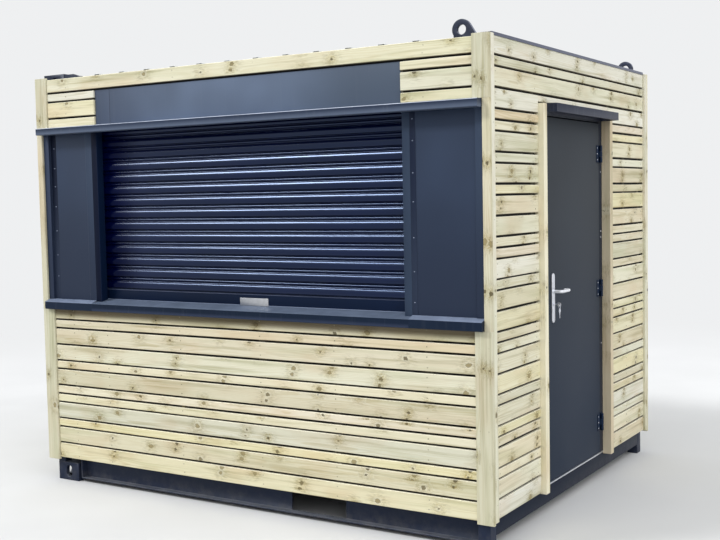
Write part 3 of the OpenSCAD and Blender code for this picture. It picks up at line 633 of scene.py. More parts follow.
def make_rubber(name, rgb, rough, dark):
    """Matt rubber or building paper with a fine crumbly face."""
    material, shader = new_material(name)
    crumb = noise(place_of(shader), 260.0, 3.0, 0.6)
    put(shader, {"Base Color": mixed(step(crumb, 0.3, 0.8, 0.0, 0.5), rgb, dark),
            "Roughness": step(crumb, 0.2, 0.8, rough - 0.1, rough + 0.1),
            "Normal": bump(crumb, 0.0002, 0.6)})
    return material


def make_screw_metal():
    """Passivated screw heads, duller in clouds."""
    material, shader = new_material("screw_heads")
    cloud = noise(place_of(shader), 130.0)
    put(shader, {"Base Color": mixed(step(cloud, 0.35, 0.65), (138, 132, 108), (172, 166, 140)),
            "Roughness": step(cloud, 0.3, 0.7, 0.38, 0.55), "Metallic": 0.6})
    return material


timber = make_timber()
# On the paints below, the pale tone on faces that look up is a painted sky reflection.
frame_paint = make_steel("frame_paint", (28, 36, 56), 0.50, dirt=0.06, dust=0.22, dust_top=0.12, wear=0.6,
        painted_top_reflection=(122, 126, 134), painted_top_reflection_share=0.5)
# a shaded copy of the frame paint on the side rails: painted shade
side_rail_shaded_paint = make_steel("side_rail_shaded_paint", (13, 22, 40), 0.50, 0.2, dirt=0.06, dust=0.12, dust_top=0.08)
hood_paint = make_steel("hood_powder_coat", (42, 52, 72), 0.40, 0.2, streaks=0.06, painted_top_reflection=(214, 222, 240),
        rise=(CANOPY_TOP - 6, CANOPY_LOW + 4, (88, 99, 119)))
# painted reflection: the counter lip lighter towards its lower edge
counter_paint = make_steel("counter_powder_coat", (20, 32, 50), 0.36, 0.12, streaks=0.04, painted_top_reflection=(97, 109, 129),
        painted_top_reflection_share=0.9, rise=(COUNTER_LOW + 26, COUNTER_LOW + 6, (46, 55, 76)))
# a lit copy of the counter's paint: a brighter painted sky reflection on the ends' tops
counter_end_lit_paint = make_steel("counter_end_lit_powder_coat", (24, 36, 55), 0.36, 0.12, streaks=0.04,
        painted_top_reflection=(122, 134, 157), painted_top_reflection_share=0.9)
# painted reflection and shade: light and dark bands beside the trims and guides, and the panels darker
# towards the bottom
panel_paint = make_steel("panel_powder_coat", (47, 58, 78), 0.42, 0.2, cloud=0.07,
        painted_light_and_joint_bands=((45, 89, (52, 62, 84)), (89, 141, (15, 22, 40)), (404, 463, (52, 64, 84)),
        (2732, 2765, (16, 26, 48)), (3106, 3150, (54, 66, 86))),
        rise=(2050, 1300, (41, 50, 69)))
# painted shade and reflection: the left guide's face and its inner side darkened
guide_paint = make_steel("guide_powder_coat", (53, 65, 84), 0.40, 0.1,
        painted_light_and_joint_bands=((450, 506, (9, 17, 38)), (506, 520, (16, 30, 56))))
lath_paint = make_steel("lath_lacquer", (0, 4, 40), 0.165, 0.52, peel=0.0, cloud=0.08, dull=(590, 850),
        sheen_tint=(0.46, 0.64, 1.0, 1.0))
# painted highlight: a pale line along the bottom rail's lower edge
rail_paint = make_steel("bottom_rail_paint", (10, 24, 48), 0.34, 0.12, cloud=0.06, painted_top_reflection=(84, 92, 116),
        painted_top_reflection_share=0.6, rise=(1198.2, 1197.2, (140, 152, 176)))
# painted reflection: the fascia darker towards both ends; the narrow band is the seam's dark joint
fascia_paint = make_steel("fascia_powder_coat", (93, 106, 127), 0.36, cloud=0.09, streaks=0.05,
        painted_reflection_drifts=((1180, 480, (72, 82, 101)), (1750, 2450, (75, 86, 102))),
        painted_light_and_joint_bands=((629.8, 632.2, (38, 44, 58)),))
# painted reflection: the leaf darker towards the bottom
door_paint = make_steel("door_matt_paint", (57, 61, 66), 0.62, 0.18, peel=0.00008,
        rise=(1900, 400, (36, 46, 62)))
jamb_paint = make_steel("jamb_paint", (28, 34, 46), 0.50, dirt=0.06)
cap_paint = make_steel("cap_paint", (35, 40, 57), 0.44, streaks=0.10, painted_top_reflection=(120, 128, 142), painted_top_reflection_share=0.6)
hinge_paint = make_steel("hinge_paint", (15, 31, 54), 0.42, 0.2, wear=0.15)
lug_paint = make_steel("lug_paint", (44, 49, 66), 0.50, 0.3, dirt=0.10, wear=0.3, painted_top_reflection=(150, 154, 170),
        painted_top_reflection_share=0.7)
roof_coat = make_steel("roof_pale_coat", (200, 203, 202), 0.42, 0.4, cloud=0.03, dirt=0.10, streaks=0.20)
edge_coat = make_steel("roof_edge_paint", (98, 101, 118), 0.46, 0.3, streaks=0.12, painted_top_reflection=(168, 170, 184))
satin = make_brushed("satin_stainless", (226, 228, 236), 0.36)
# painted reflection: the levers' chrome is a pale, little metallic colour that looks bright under any light
lever_painted_reflection = make_brushed("lever_chrome_painted_reflection", (244, 246, 252), 0.40, metallic=0.25)
plate_metal = make_brushed("blank_plate_metal", (186, 188, 192), 0.36, (30.0, 900.0, 900.0))
ply = make_board("floor_plywood", (126, 98, 68), (88, 66, 44), (1.6, 26.0, 26.0), 0.5, 0.7, True)
ceiling_face = make_board("ceiling_faced_board", (222, 223, 220), (206, 207, 204), (2.0, 3.0, 3.0), 0.55, 0.2)
wall_face = make_board("wall_faced_board", (214, 215, 211), (196, 197, 193), (3.0, 3.0, 2.0), 0.55, 0.25)
paper = make_rubber("building_paper", (13, 12, 11), 0.8, (20, 19, 18))
seal_rubber = make_rubber("seal_rubber", (18, 18, 20), 0.6, (40, 39, 36))
screw_metal = make_screw_metal()


# Timber

# Heights of the middles of the gaps between courses: the pitches of the courses below, added up
PITCHES = [(BOARD_WIDE if course == "W" else BOARD_NARROW) + BOARD_GAP for course in COURSES]
LEVELS = BOARD_START + np.cumsum([0.0] + PITCHES)

# Each side's direction from its left-hand end as seen from outside, its facing, how far its boards
# are set back from its trims, and its corner at that end
FACES = {
    "front": (X, -Y, BOARD_FRONT_SET, (0.0, 0.0, 0.0)),
    "right": (Y, X, BOARD_SIDE_SET, (WIDTH, 0.0, 0.0)),
    "back": (-X, Y, BOARD_FRONT_SET, (WIDTH, DEPTH, 0.0)),
    "left": (-Y, -X, BOARD_SIDE_SET, (0.0, DEPTH, 0.0)),
}


def on_side(side, u, depth, z):
    """Points at distances u along a side, at depths behind its trims' plane and at heights z."""
    along, outward = FACES[side][:2]
    u, depth, z = (part[..., None] for part in np.broadcast_arrays(u, depth, z))
    return FACES[side][3] + along * u - outward * depth + Z * z


def tone_list(names, rng, spread=2.2):
    """Named tones as screen colours, each shifted a little in lightness and warmth."""
    base = np.array([TONES[n] for n in names], float)
    light = rng.normal(0, spread, (len(names), 1))
    warm = rng.normal(0, spread * 0.3, (len(names), 1)) * np.array([[1.0, 0.0, -1.4]])
    return np.clip(base + light + warm, 0, 255)


def lay_boards(shell, side, spans, rng):
    """Horizontal boards on one side. A span is (u0, u1, z0, z1, tone, end tone), with u from the
    side's left-hand end as seen from outside."""
    along, outward, set_back = FACES[side][:3]
    u0, u1, z0, z1 = (np.array([s[i] for s in spans], float) for i in range(4))
    high = z1 - z0 - 2.1 + rng.normal(0, 0.45, len(spans))
    tones = tone_list([s[4] for s in spans], rng)
    ends = tones + np.array([np.subtract(TONES[s[5]], TONES[s[4]]) for s in spans])
    middle = (z0 + z1) / 2 + rng.normal(0, 0.35, len(spans))
    push = rng.normal(-0.5, 0.45, len(spans))
    starts = on_side(side, u0 + 1.0, set_back + BOARD_THICK / 2 - push, middle)
    planks(shell, starts, along, Z, outward, u1 - u0 - 2.0, high, BOARD_THICK - 0.5, tones, ends, rng,
           radius=4.5, warp=0.8)


def courses(first, last, u0, u1, low, high, tones, ends=None):
    """Spans of the courses `first` to `last` between two heights, their tones taken in turn."""
    spans = []
    ends = ends or tones
    for k in range(first, last + 1):
        z0 = max(low, LEVELS[k] + BOARD_GAP / 2)
        z1 = min(high, LEVELS[k + 1] - BOARD_GAP / 2)
        spans.append((u0, u1, z0, z1, tones[(k - first) % len(tones)], ends[(k - first) % len(ends)]))
    return spans


def drawn_tones(count, rng):
    """A run of tones picked at random, pale ones most often."""
    names = ["cream", "straw", "yellow", "khaki", "grey_green", "pale_green", "tan", "pink", "chalk"]
    weights = [0.20, 0.14, 0.04, 0.08, 0.18, 0.18, 0.07, 0.04, 0.07]
    return list(rng.choice(names, count, p=weights))


def screw_places(spans, columns, rng):
    """Fixings of a set of spans: two a board on wide boards and one on narrow ones, at each column."""
    out = []
    for u0, u1, z0, z1 in (span[:4] for span in spans):
        if z1 - z0 < 20:
            continue
        rows = (z0 + 21, z1 - 21) if z1 - z0 > 60 else ((z0 + z1) / 2,)
        out += [(u, z) for u in columns if u0 + 12 < u < u1 - 12 for z in rows]
    out = np.array(out, float)
    return out + rng.normal(0, 1.6, out.shape)


# Profiles of fixings from the middle out: radius and height of each point
SCREW = np.array([(0.4, -1.0), (1.4, -0.9), (1.6, 0.2), (2.8, 0.4), (3.5, 0.15), (3.7, -1.4)])
RIVET = np.array([(0.4, 1.7), (1.6, 1.6), (2.8, 1.2), (3.7, 0.6), (4.1, -0.5)])
PAN = np.array([(0.5, 0.6), (1.5, 0.7), (1.7, 1.9), (3.0, 1.7), (3.9, 0.9), (4.1, -0.5)])
WASHER = np.array([(0.6, 5.2), (3.6, 5.0), (4.2, 4.4), (4.4, 1.6), (8.0, 1.2), (9.0, 0.5), (9.0, -0.6)])
COLLAR = np.array([(9.6, 3.4), (11.5, 3.3), (13.0, 2.6), (13.6, 0.0), (13.6, -1.0)])


def fixings(name, material, *groups, slot="satin_steel", body="kiosk", segments=12):
    """One piece of turned shapes. A group is their centres, the way they face and their profile."""
    shell = Shell()
    for group in groups:
        turned(shell, *group, segments)
    shell.piece(name, material, slot, body=body)


rng = np.random.default_rng(41)
inner_u = (TRIM_FRONT, WIDTH - TRIM_FRONT)
side_u = (TRIM_SIDE, DEPTH - TRIM_SIDE)
near_u = (TRIM_SIDE, BAY_NEAR - BATTEN)
far_u = (BAY_FAR + BATTEN, side_u[1])

front_tones = ["straw", "khaki", "yellow", "grey_green", "straw", "cream", "khaki", "cream", "pale_green",
        "tan", "tan"]
front_ends = ["straw", "khaki", "yellow", "grey_green", "cream", "pink", "tan", "cream", "pale_green",
        "tan", "honey"]
front_low = (courses(0, SILL_COURSE - 1, *inner_u, BOARD_START, COUNTER_LOW, front_tones, front_ends)
        + [(*inner_u, LEVELS[SILL_COURSE] + BOARD_GAP / 2, COUNTER_LOW + 10, "khaki", "khaki")])
upper = (DOOR_COURSE, TOP_COURSE - 1)
over_canopy = (CANOPY_TOP + 2, FRONT_TOP)
front_high = (courses(*upper, TRIM_FRONT, GUIDE_OUT, *over_canopy, ["cream", "straw", "chalk"])
        + courses(*upper, WIDTH - GUIDE_OUT, inner_u[1], *over_canopy, ["straw", "grey_green", "cream"])
        + courses(TOP_COURSE, TOP_COURSE, *inner_u, BOARD_START, FRONT_TOP, ["cream"], ["straw"]))
near_tones = drawn_tones(30, rng)
near_tones[23:26] = ["grey_green", "cream", "honey"]
right_near = courses(0, DOOR_COURSE - 1, *near_u, SIDE_LOW, SIDE_TOP, near_tones)
right_far = courses(0, DOOR_COURSE - 1, *far_u, SIDE_LOW, SIDE_TOP, drawn_tones(26, rng))
head_low = LEVELS[DOOR_COURSE] + BOARD_GAP / 2
head_high = LEVELS[DOOR_COURSE + 1] - BOARD_GAP / 2
right_top = [(*near_u, head_low, head_high, "chalk", "chalk"),
        (near_u[1], far_u[0], CAP_TOP + 6, head_high, "chalk", "chalk"),
        (*far_u, head_low, head_high, "chalk", "chalk")]
right_top += courses(DOOR_COURSE + 1, TOP_COURSE, *side_u, BOARD_START, SIDE_TOP,
        ["pale_green", "grey_green", "chalk"])
left_all = courses(0, TOP_COURSE, *side_u, SIDE_LOW, SIDE_TOP, drawn_tones(30, rng))
back_all = courses(0, TOP_COURSE, *inner_u, SIDE_LOW, FRONT_TOP, drawn_tones(30, rng))

FRONT_COLUMNS = (266, 560, 1153, 1745, 2250, 2820)
SIDE_COLUMNS = (105, 600, 1810, 2110, 2420)
TOP_COLUMNS = (105, 600, 1200, 1810, 2110, 2420)
LEFT_COLUMNS = (105, 600, 1200, 1810, 2420)
BACK_COLUMNS = (130, 700, 1290, 1880, 2470, 3060)

for place, spans, columns in (
        ("front_lower", front_low, FRONT_COLUMNS), ("front_upper", front_high, FRONT_COLUMNS),
        ("right_near", right_near, SIDE_COLUMNS), ("right_far", right_far, SIDE_COLUMNS),
        ("right_top", right_top, TOP_COLUMNS), ("left", left_all, LEFT_COLUMNS),
        ("back", back_all, BACK_COLUMNS)):
    side = place.split("_")[0]
    shell = Shell()
    lay_boards(shell, side, spans, rng)
    shell.piece("boards_" + place, timber, "timber", "cladding_" + place)
    outward, set_back = FACES[side][1:3]
    spots = screw_places(spans, columns, rng)
    centres = on_side(side, spots[:, 0], set_back + 0.6, spots[:, 1])
    shell = Shell()
    turned(shell, centres, outward, SCREW, 8, rng.uniform(0, math.pi, len(spots)))
    shell.piece("screws_" + place, screw_metal, "satin_steel")


def backing_sheets():
    """Building paper on the body behind the boards, and the upright studs that carry them."""
    sheet = Shell()
    front_u = (TRIM_FRONT + 2, WIDTH - TRIM_FRONT - 2)
    end_u = (TRIM_SIDE + 2, DEPTH - TRIM_SIDE - 2)
    front_high_end = FRONT_TOP - 2
    side_high_end = SIDE_TOP - 2
    over_fascia = 2501.0
    for side, u0, u1, low, high in (
            ("front", *front_u, BOARD_START, COUNTER_LOW + 8),
            ("front", front_u[0], GUIDE_OUT, CANOPY_TOP + 1, front_high_end),
            ("front", WIDTH - GUIDE_OUT, front_u[1], CANOPY_TOP + 1, front_high_end),
            ("front", GUIDE_OUT, WIDTH - GUIDE_OUT, over_fascia, front_high_end),
            ("back", *front_u, SIDE_LOW, front_high_end), ("left", *end_u, SIDE_LOW, side_high_end),
            ("right", end_u[0], near_u[1], SIDE_LOW, side_high_end),
            ("right", far_u[0], end_u[1], SIDE_LOW, side_high_end),
            ("right", near_u[1], far_u[0], CAP_TOP + 4, side_high_end)):
        ends = on_side(side, [u0, u1], [PAPER_FACE, SKIN], [low, high])
        box(sheet, ends.min(axis=0), ends.max(axis=0))
    sheet.piece("building_paper", paper, "black_steel")
    studs = Shell()
    for side, columns, low, high in (
            ("front", FRONT_COLUMNS, BOARD_START, COUNTER_LOW - 2), ("right", (110, 600), SIDE_LOW, 2590),
            ("right", (1810, 2110, 2415), SIDE_LOW, 2590), ("left", LEFT_COLUMNS, SIDE_LOW, 2590),
            ("back", BACK_COLUMNS, SIDE_LOW, 2580)):
        along, outward, set_back = FACES[side][:3]
        deep = PAPER_FACE - set_back - BOARD_THICK
        # painted shade: the studs' tan is taken down to 0.4, as they only show in the gaps between the boards
        tones = np.tile(np.array(TONES["tan"]) * 0.4, (len(columns), 1))
        planks(studs, on_side(side, columns, PAPER_FACE - deep / 2, low), Z, along, outward, high - low, 44.0,
               deep, tones, tones, rng, radius=0.8, ease=0.8, warp=0.0, stations=6)
    studs.piece("upright_studs", timber, "timber")


def corner_boards():
    """The four corner trims: a wide board on the front or back and a narrow strip on the side."""
    trims = Shell()
    heads = Shell()
    rear_boards = [(BASE, TRIM_TOP, TRIM_FRONT, "grey_green", "cream")]
    front_boards = [(BASE, COUNTER_LOW - 1.5, TRIM_FRONT, "sage", "sage"),
            (COUNTER_LOW - 1.5, CANOPY_TOP + 1.5, SURROUND_IN, "sage", "tan"),
            (CANOPY_TOP + 1.5, TRIM_TOP, TRIM_FRONT, "sage", "sage")]
    for x0, x_in in ((0.0, 1.0), (WIDTH, -1.0)):
        for y0, out, spans in ((0.0, -Y, front_boards), (DEPTH, Y, rear_boards)):
            for low, high, wide, tone, end in spans:
                planks(trims, (x0 + x_in * wide / 2, y0 - out[1] * BOARD_THICK / 2, low), Z, -X, out,
                       high - low, wide - 0.6, BOARD_THICK - 0.2, tone_list([tone], rng, 1.5),
                       tone_list([end], rng), rng, radius=3.5)
                rows = np.arange(low + 60, high - 30, 420.0)
                for inset in ((24, 74) if wide > 60 else (23,)):
                    centres = at(x0 + x_in * inset, y0 - out[1] * 0.5, rows)
                    turned(heads, centres + rng.normal(0, 2, centres.shape) * (1, 0, 1), out, SCREW, 8)
            low = BASE + 10
            start = (x0 + x_in * STRIP_THICK / 2, y0 - out[1] * (BOARD_THICK + TRIM_SIDE) / 2, low)
            planks(trims, start, Z, out, -x_in * X, TRIM_TOP - low, TRIM_SIDE - BOARD_THICK - 0.8,
                   STRIP_THICK - 0.4, tone_list(["pale_green"], rng), tone_list(["chalk"], rng), rng,
                   radius=4.0)
            rows = np.arange(low + 90, TRIM_TOP, 480.0)
            turned(heads, at(x0 + x_in * 0.4, y0 - out[1] * 40, rows), -x_in * X, SCREW, 8)
    trims.piece("corner_boards", timber, "timber", "corner_trims")
    heads.piece("screws_corner_boards", screw_metal, "satin_steel")


def bay_battens():
    """Two upright battens beside the door, planed on all sides."""
    shell = Shell()
    deep = SKIN + BATTEN_OUT - 0.6
    # painted light on the near batten, painted shade on the far one
    for y, tone in ((BAY_NEAR - BATTEN / 2, "painted_lit_pale"), (BAY_FAR + BATTEN / 2, "painted_shade_brown")):
        planks(shell, (WIDTH - SKIN + 0.3 + deep / 2, y, BASE + 8), Z, -Y, X, CAP_TOP - BASE - 8.5,
               BATTEN - 0.8, deep, tone_list([tone], rng), tone_list([tone], rng), rng)
    shell.piece("bay_battens", timber, "timber", "door_battens")
    rows = np.arange(BASE + 120, CAP_TOP - 60, 520.0)
    fixings("screws_bay_battens", screw_metal,
            *((at(WIDTH + BATTEN_OUT - 0.9, y, rows), X, SCREW) for y in (near_u[1] + BATTEN / 2,
            far_u[0] - BATTEN / 2)), segments=8)


backing_sheets()
corner_boards()
bay_battens()


# Steelwork

def softened(node, width, material, body="kiosk"):
    """A node's own shape, merged and with small rounded edges, standing for it."""
    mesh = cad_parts[node].data.copy()
    work = bmesh.new()
    work.from_mesh(mesh)
    bmesh.ops.remove_doubles(work, verts=work.verts, dist=1e-5)
    bmesh.ops.dissolve_limit(work, angle_limit=math.radians(0.8), verts=work.verts, edges=work.edges)
    work.to_mesh(mesh)
    work.free()
    mesh.materials.clear()
    mesh.materials.append(material)
    mesh.polygons.foreach_set("use_smooth", np.ones(len(mesh.polygons), bool))
    obj = new_object(node + "_finish", mesh)
    bevel = obj.modifiers.new("edges", "BEVEL")
    bevel.width = width / 1000.0
    bevel.segments = 2
    bevel.limit_method = "ANGLE"
    bevel.angle_limit = math.radians(32)
    bevel.harden_normals = True
    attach(obj, body)
    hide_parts(node)


for node, width, material in (
        ("base_castings", 4.0, frame_paint), ("top_castings", 4.0, frame_paint),
        ("base_rails_long", 1.8, frame_paint), ("base_rails_short", 1.8, side_rail_shaded_paint),
        ("corner_posts", 2.5, frame_paint), ("side_panels", 1.4, panel_paint),
        ("fascia_panel", 1.2, fascia_paint), ("shutter_guides", 1.2, guide_paint),
        ("shutter_bottom_rail", 1.5, rail_paint), ("door_cap", 1.0, cap_paint),
        ("door_jambs", 1.5, jamb_paint), ("door_head", 1.5, jamb_paint),
        ("door_sill", 1.2, satin), ("roof_flashings", 1.0, edge_coat), ("lifting_lugs", 2.5, lug_paint),
        ("roof_sheet", 1.0, roof_coat), ("hinge_fixed", 0.8, hinge_paint), ("name_plate", 0.5, plate_metal)):
    softened(node, width, material)
for node, width, material in (("door_leaf", 2.0, door_paint), ("hinge_moving", 0.8, hinge_paint),
        ("handle_plates", 1.6, satin), ("lock_and_key", 0.5, satin)):
    softened(node, width, material, "door")

# CAD nodes that stay as they are and get their real finish
for material, nodes in (
        (frame_paint, ("cross_members", "top_rails_long", "top_rails_short")), (ply, ("floor_deck",)),
        (ceiling_face, ("ceiling_panel",)), (lath_paint, ("shutter_roll",)), (hood_paint, ("roll_brackets",)),
        (wall_face, [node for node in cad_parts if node.startswith("wall_")])):
    for node in nodes:
        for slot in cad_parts[node].material_slots:
            slot.material = material


def lath_profile(t):
    """How far a lath's face stands out at a share t of its height: a ledge that rises as a quarter
    sine, an arc of 46 mm radius, a shoulder that falls as a cube into a groove, and a half sine bead."""
    ledge = 13.5 * np.sin(math.pi * 10 * t)
    arc = 15.0 - ((t - 0.21) * LATH_HIGH) ** 2 / 92.0
    shoulder = 7.2 * np.clip((0.69 - t) / 0.115, 0, 1) ** 3
    bead = 8.0 * np.sin(math.pi * np.clip((t - 0.69) / 0.275, 0, 1))
    return np.select([t < 0.05, t < 0.575, t < 0.69], [ledge, arc, shoulder], bead)


def shutter_laths():
    """The curtain: the lath profile repeated up the height and carried across the opening, with a
    plain strip over it. Each lath leans by its own small angle, and the sheet is closed behind its
    face."""
    rng_lath = np.random.default_rng(7)
    z0 = COUNTER_BACK + RAIL_HIGH + 1
    count = int((HATCH_TOP - 2 - z0) / LATH_HIGH)
    shares = np.concatenate([[0, 0.01, 0.024, 0.049], np.linspace(0.075, 0.574, 18),
            [0.59, 0.61, 0.635, 0.66, 0.69], np.linspace(0.71, 0.965, 13)])
    lean = rng_lath.normal(0, 0.3, count)
    z = (z0 + (np.arange(count)[:, None] + shares) * LATH_HIGH).ravel()
    out = (lath_profile(shares) + (shares - 0.5) * lean[:, None] - 0.3).ravel()
    z = np.append(z, [z0 + count * LATH_HIGH, HATCH_TOP - 2])
    out = np.append(out, [0.0, 0.0])
    front = np.stack([LATH_BACK - np.clip(out, 0.0, 14.9), z], -1)
    slope = np.gradient(front, axis=0)
    normals = unit(np.stack([-slope[:, 1], slope[:, 0]], -1))
    shell = Shell()
    sheet_along_x(shell, front, normals, np.linspace(GUIDE_IN + 8, WIDTH - GUIDE_IN - 8, 9), 3.5)
    shell.piece("shutter_laths", lath_paint, "black_steel", "shutter_curtain")


def folded(name, material, node, corners, radius, steps, stretches, plates=None):
    """A folded sheet: a line through corners with rounded bends, carried along each stretch of x.
    Where `plates` gives an inset and a margin, a thin plate stands in each end behind the front."""
    shell = Shell()
    for x0, x1, count in stretches:
        sheet_along_x(shell, *bent_line(corners, radius, steps), np.linspace(x0, x1, count))
    if plates:
        inset, margin = plates
        (front, low), (front, high) = corners[1:3]
        for x in (SURROUND_IN + inset, WIDTH - SURROUND_IN - inset):
            box(shell, (x - 0.8, front + margin, low + margin), (x + 0.8, -1, high - margin))
    shell.piece(name, material, "black_steel", node)


shutter_laths()
lip = [(-COUNTER_OUT + 20, COUNTER_LOW), (-COUNTER_OUT, COUNTER_LOW), (-COUNTER_OUT, LIP_TOP)]
turned_down = [(COUNTER_INNER, COUNTER_BACK), (COUNTER_INNER, COUNTER_TOP - 45), (SKIN, COUNTER_TOP - 45)]
folded("canopy_hood", hood_paint, "canopy",
       [(PANEL_FACE - 6, CANOPY_LOW), (-CANOPY_OUT, CANOPY_LOW), (-CANOPY_OUT, CANOPY_TOP),
        (PANEL_FACE, CANOPY_TOP)], 4.5, 7, [(SURROUND_IN, WIDTH - SURROUND_IN, 12)], (1.0, 2.6))
folded("counter_end_tops", counter_end_lit_paint, "counter_ends",
       lip + [(PANEL_FACE, COUNTER_TOP), (SKIN, COUNTER_TOP)], 3.6, 6,
       [(SURROUND_IN, GUIDE_IN, 4), (WIDTH - GUIDE_IN, WIDTH - SURROUND_IN, 4)], (1.5, 2.0))
folded("counter_top", counter_paint, "counter_centre", lip + [(SLOPE_END, COUNTER_BACK)] + turned_down,
       3.6, 6, [(GUIDE_IN + 0.4, WIDTH - GUIDE_IN - 0.4, 10)])


# Rivets of the surround panels, the blank plate and the canopy, and screws of the jambs, hinges, cap and roof
plate_x = np.array([1564.0, 1564.0, 1753.0, 1753.0])
plate_z = COUNTER_BACK + np.array([9, 37, 9, 37])
hinge_z = np.add.outer(HINGE_HEIGHTS, (-36, 0, 36)).ravel()
fixings("rivets", hood_paint,
        (at(117.0, 34.0, [1335, 1471, 1626, 1780, 1909, 2024, 2150]), -Y, RIVET),
        (at(2748.0, PANEL_FACE, [1255, 1415, 1590, 1775, 1924, 2089, 2200]), -Y, RIVET),
        (at(plate_x, 78.4, plate_z), -Y, RIVET * 0.55),
        (at(np.arange(130.0, WIDTH - 60, 330.0), 8.0, CANOPY_TOP), Z, RIVET), slot="black_steel")
fixings("frame_screws", satin,
        (at(JAMB_FACE, 1688.0, [330, 860, 1527, 1564, 1932]), X, PAN),
        (at(JAMB_FACE, 745.0, [330, 860, 1500, 2050]), X, PAN),
        (at(JAMB_FACE + 4, HINGE_Y + 36, hinge_z), X, PAN * 0.9),
        (at(WIDTH + 1, np.arange(760.0, 1700.0, 220.0), CAP_TOP - 2), Z, PAN * 0.8))
fixings("leaf_screws", satin,
        (at(LEAF_FACE + 4, HINGE_Y - 38, hinge_z), X, PAN * 0.9),
        (at(LEAF_FACE + PLATE_OUT, PLATE_Y, [LEVER_Z - 163, LEVER_Z + 89]), X, PAN * 0.8), body="door")
fixings("roof_screws", screw_metal,
        (at(RIDGES, np.linspace(250, DEPTH - 250, 5)[:, None], TRIM_TOP).reshape(-1, 3), Z, WASHER))


def door_lever():
    """Both lever handles: a round bar along a neck out of the plate, a grip and a return, which are
    straight lines joined by quarter circles."""
    shell = Shell()
    r = 9.0
    bend = 18.0
    out = 49.0
    straight = out - bend
    grip = 128.0 - r
    quarter = np.linspace(0, math.pi / 2, 9)[1:]
    neck = np.stack([np.linspace(0, straight, 5), np.zeros(5)], -1)
    first = np.stack([straight + bend * np.sin(quarter), bend - bend * np.cos(quarter)], -1)
    bar = np.stack([np.full(9, out), np.linspace(bend, grip - bend, 10)[1:]], -1)
    second = np.stack([straight + bend * np.cos(quarter), grip - bend + bend * np.sin(quarter)], -1)
    tail = np.stack([np.linspace(straight, straight - 14, 4)[1:], np.full(3, grip)], -1)
    plan = np.concatenate([neck, first, bar, second, tail])
    radii = np.full(len(plan), r - 0.05)
    radii[-1] -= 1.2
    for sign, x0 in ((1.0, LEAF_FACE + PLATE_OUT + 0.3), (-1.0, LEAF_BACK - PLATE_OUT - 0.3)):
        swept(shell, at(x0 + sign * plan[:, 0], PLATE_Y + plan[:, 1], LEVER_Z), radii, 24)
    shell.piece("door_levers", lever_painted_reflection, "satin_steel", "lever", body="handle")
    fixings("lever_roses", satin, ((LEAF_FACE + PLATE_OUT, PLATE_Y, LEVER_Z), X, COLLAR),
            ((LEAF_BACK - PLATE_OUT, PLATE_Y, LEVER_Z), -X, COLLAR), body="door", segments=32)


def spare_key():
    """A split ring through the key's bow and a flat spare key hanging from it: a helix of 1.9 turns
    with a round section, and an outline with a second one behind it."""
    shell = Shell()
    hub = np.array([LEAF_FACE + PLATE_OUT + 35, PLATE_Y, LEVER_Z - 72 - 11.5])
    turn = np.linspace(0, 2 * math.pi * 1.9, 56)
    ring = hub + at(0.9 * np.linspace(-1, 1, 56), 12.5 * np.sin(turn), 12.5 * np.cos(turn))
    tangent = unit(np.gradient(ring, axis=0))
    inward = unit(hub - ring)
    rim = circles(inward, np.cross(tangent, inward), 8)
    tubes(shell, (ring[:, None] + rim * 0.85)[None], rim, -tangent[0], tangent[-1])
    shell.piece("key_ring", satin, "satin_steel", body="door")
    flat = Shell()
    y = np.array([-3, 3, 9, 12, 12, 8, 4.5, 4.5, 3.2, 4.4, 2.6, 4.4, 3, 4.2, 3.6, 0, -4, -4.5, -8, -12,
            -12, -9])
    z = np.array([4, 4, 0, -7, -13, -20, -23, -29, -31, -34, -37, -40, -43, -46, -50, -53, -50, -23, -20, -13,
            -7, 0])
    n = len(y)
    front = hub - 14.0 * Z + at(1.1, y, z)
    edge = unit(at(0.0, y, z + 20.0))
    k = np.arange(n)
    quads = np.stack([k, k + n, (k + 1) % n + n, (k + 1) % n], -1)
    flat.add(np.concatenate([front, front - 2.2 * X]), np.concatenate([edge, edge]), quads,
            np.stack([k[::-1], k + n]), np.array([X, -X]))
    flat.piece("spare_key", satin, "satin_steel", body="door")


def door_seals():
    """Rubber strips in the rebates behind the leaf: a flattened round bar up each jamb."""
    shell = Shell()
    for y in (LEAF_NEAR + 6, LEAF_FAR - 6):
        swept(shell, at(LEAF_BACK - 3.6, y, np.linspace(186, 2226, 6)), np.full(6, 4.2), 12, 0.5)
    shell.piece("door_seals", seal_rubber, "black_steel")


door_lever()
spare_key()
door_seals()


# Stage, light and camera

PALE = (0.86, 0.87, 0.88, 1.0)
FLOOR_SHOWN = ((0.66, 0.665, 0.67, 1.0), (0.70, 0.705, 0.71, 1.0))
FLOOR_LIGHTING = (0.40, 0.405, 0.41, 1.0)
FLOOR_RADIUS = 90.0
FADE = (3.2, 9.0)


def looking(near):
    """One for the rays that show the background: seen, mirrored or let through."""
    rays = add_node(near, "LightPath", {}).outputs
    seen = plus(rays["Is Camera Ray"], rays["Is Transmission Ray"])
    return calc("ADD", seen, rays["Is Glossy Ray"], clamp=True)


def blended(share, first, second):
    """Two shaders mixed by a share."""
    return add_node(share, "MixShader", {0: share, 1: first.outputs[0], 2: second.outputs[0]}).outputs[0]


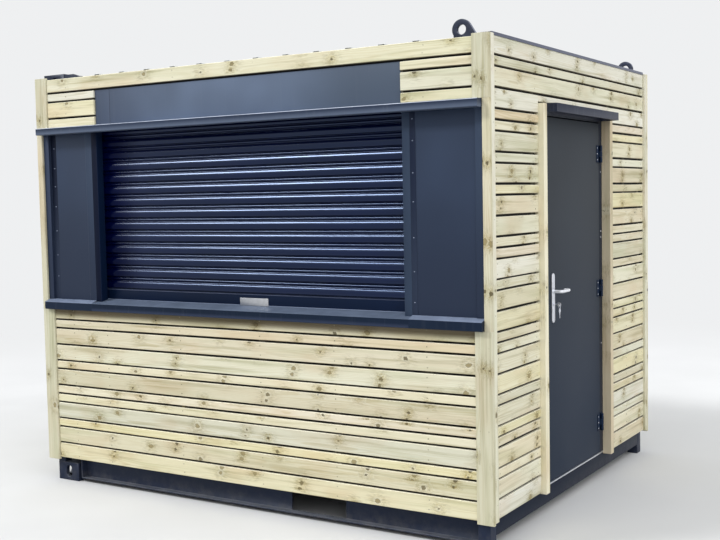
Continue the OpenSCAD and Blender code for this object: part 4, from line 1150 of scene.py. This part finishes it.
def make_floor():
    """A large pale round floor that fades into the background colour away from the kiosk."""
    mesh = bpy.data.meshes.new("floor")
    a = np.linspace(0, 2 * math.pi, 96, endpoint=False)
    mesh.from_pydata((FLOOR_RADIUS * at(np.cos(a), np.sin(a), 0.0)).tolist(), [], [list(range(96))])
    floor = new_object("floor", mesh)
    material, shader = new_material("studio_floor")
    mesh.materials.append(material)
    where = place_of(shader)
    seen = looking(shader)
    shown = mixed(step(noise(where, 0.8, 3.0), 0.3, 0.7), *FLOOR_SHOWN)
    put(shader, {"Base Color": mixed(seen, FLOOR_LIGHTING, shown), "Roughness": 0.9,
            "Specular IOR Level": 0.1})
    glow = add_node(shader, "Emission", {0: PALE})
    far = step(vector_step("LENGTH", "Value", where), *FADE)
    out = next(n for n in shader.id_data.nodes if n.type == "OUTPUT_MATERIAL")
    put(out, {0: blended(times(seen, far), shader, glow)})


def make_world():
    """The background colour for the rays that show it, and an even sky light for all others."""
    world = bpy.data.worlds.new("studio")
    bpy.context.scene.world = world
    world.use_nodes = True
    world.node_tree.nodes.clear()
    out = world.node_tree.nodes.new("ShaderNodeOutputWorld")
    light = add_node(out, "Background", {0: (0.96, 0.98, 1.0, 1.0), 1: 0.71})
    put(out, {0: blended(looking(out), light, add_node(out, "Background", {0: PALE}))})


def make_lamp(name, direction, strength, spread):
    """A soft distant lamp that shines along a direction, `spread` degrees wide."""
    data = bpy.data.lights.new(name, "SUN")
    data.energy = strength
    data.angle = math.radians(spread)
    new_object(name, data).rotation_euler = Vector(direction).to_track_quat("-Z", "Y").to_euler()


def make_camera():
    """The camera at the photograph's viewing angle: turned left, tipped down and rolled."""
    data = bpy.data.cameras.new("camera")
    data.lens = 54.655
    data.sensor_width = 36
    pose = Matrix.Translation((3.8589, -6.1463, 1.8095))
    for degrees, axis in ((31.965, "Z"), (90 - 3.850, "X"), (-1.136, "Z")):
        pose = pose @ Matrix.Rotation(math.radians(degrees), 4, axis)
    camera = new_object("camera", data)
    camera.matrix_world = pose
    bpy.context.scene.camera = camera


make_floor()
make_world()
for name, direction, strength, spread in (
        ("sky_left_low", (0.643, 0.452, -0.618), 0.57, 11), ("sky_left", (0.575, 0.483, -0.660), 0.57, 11),
        ("sky_left_high", (0.495, 0.513, -0.701), 0.57, 11), ("sky_above", (-0.12, 0.32, -0.94), 0.60, 80),
        ("sky_right", (-0.85, 0.22, -0.5), 1.25, 70)):
    make_lamp(name, direction, strength, spread)
make_camera()
bpy.context.scene.view_settings.view_transform = "Standard"
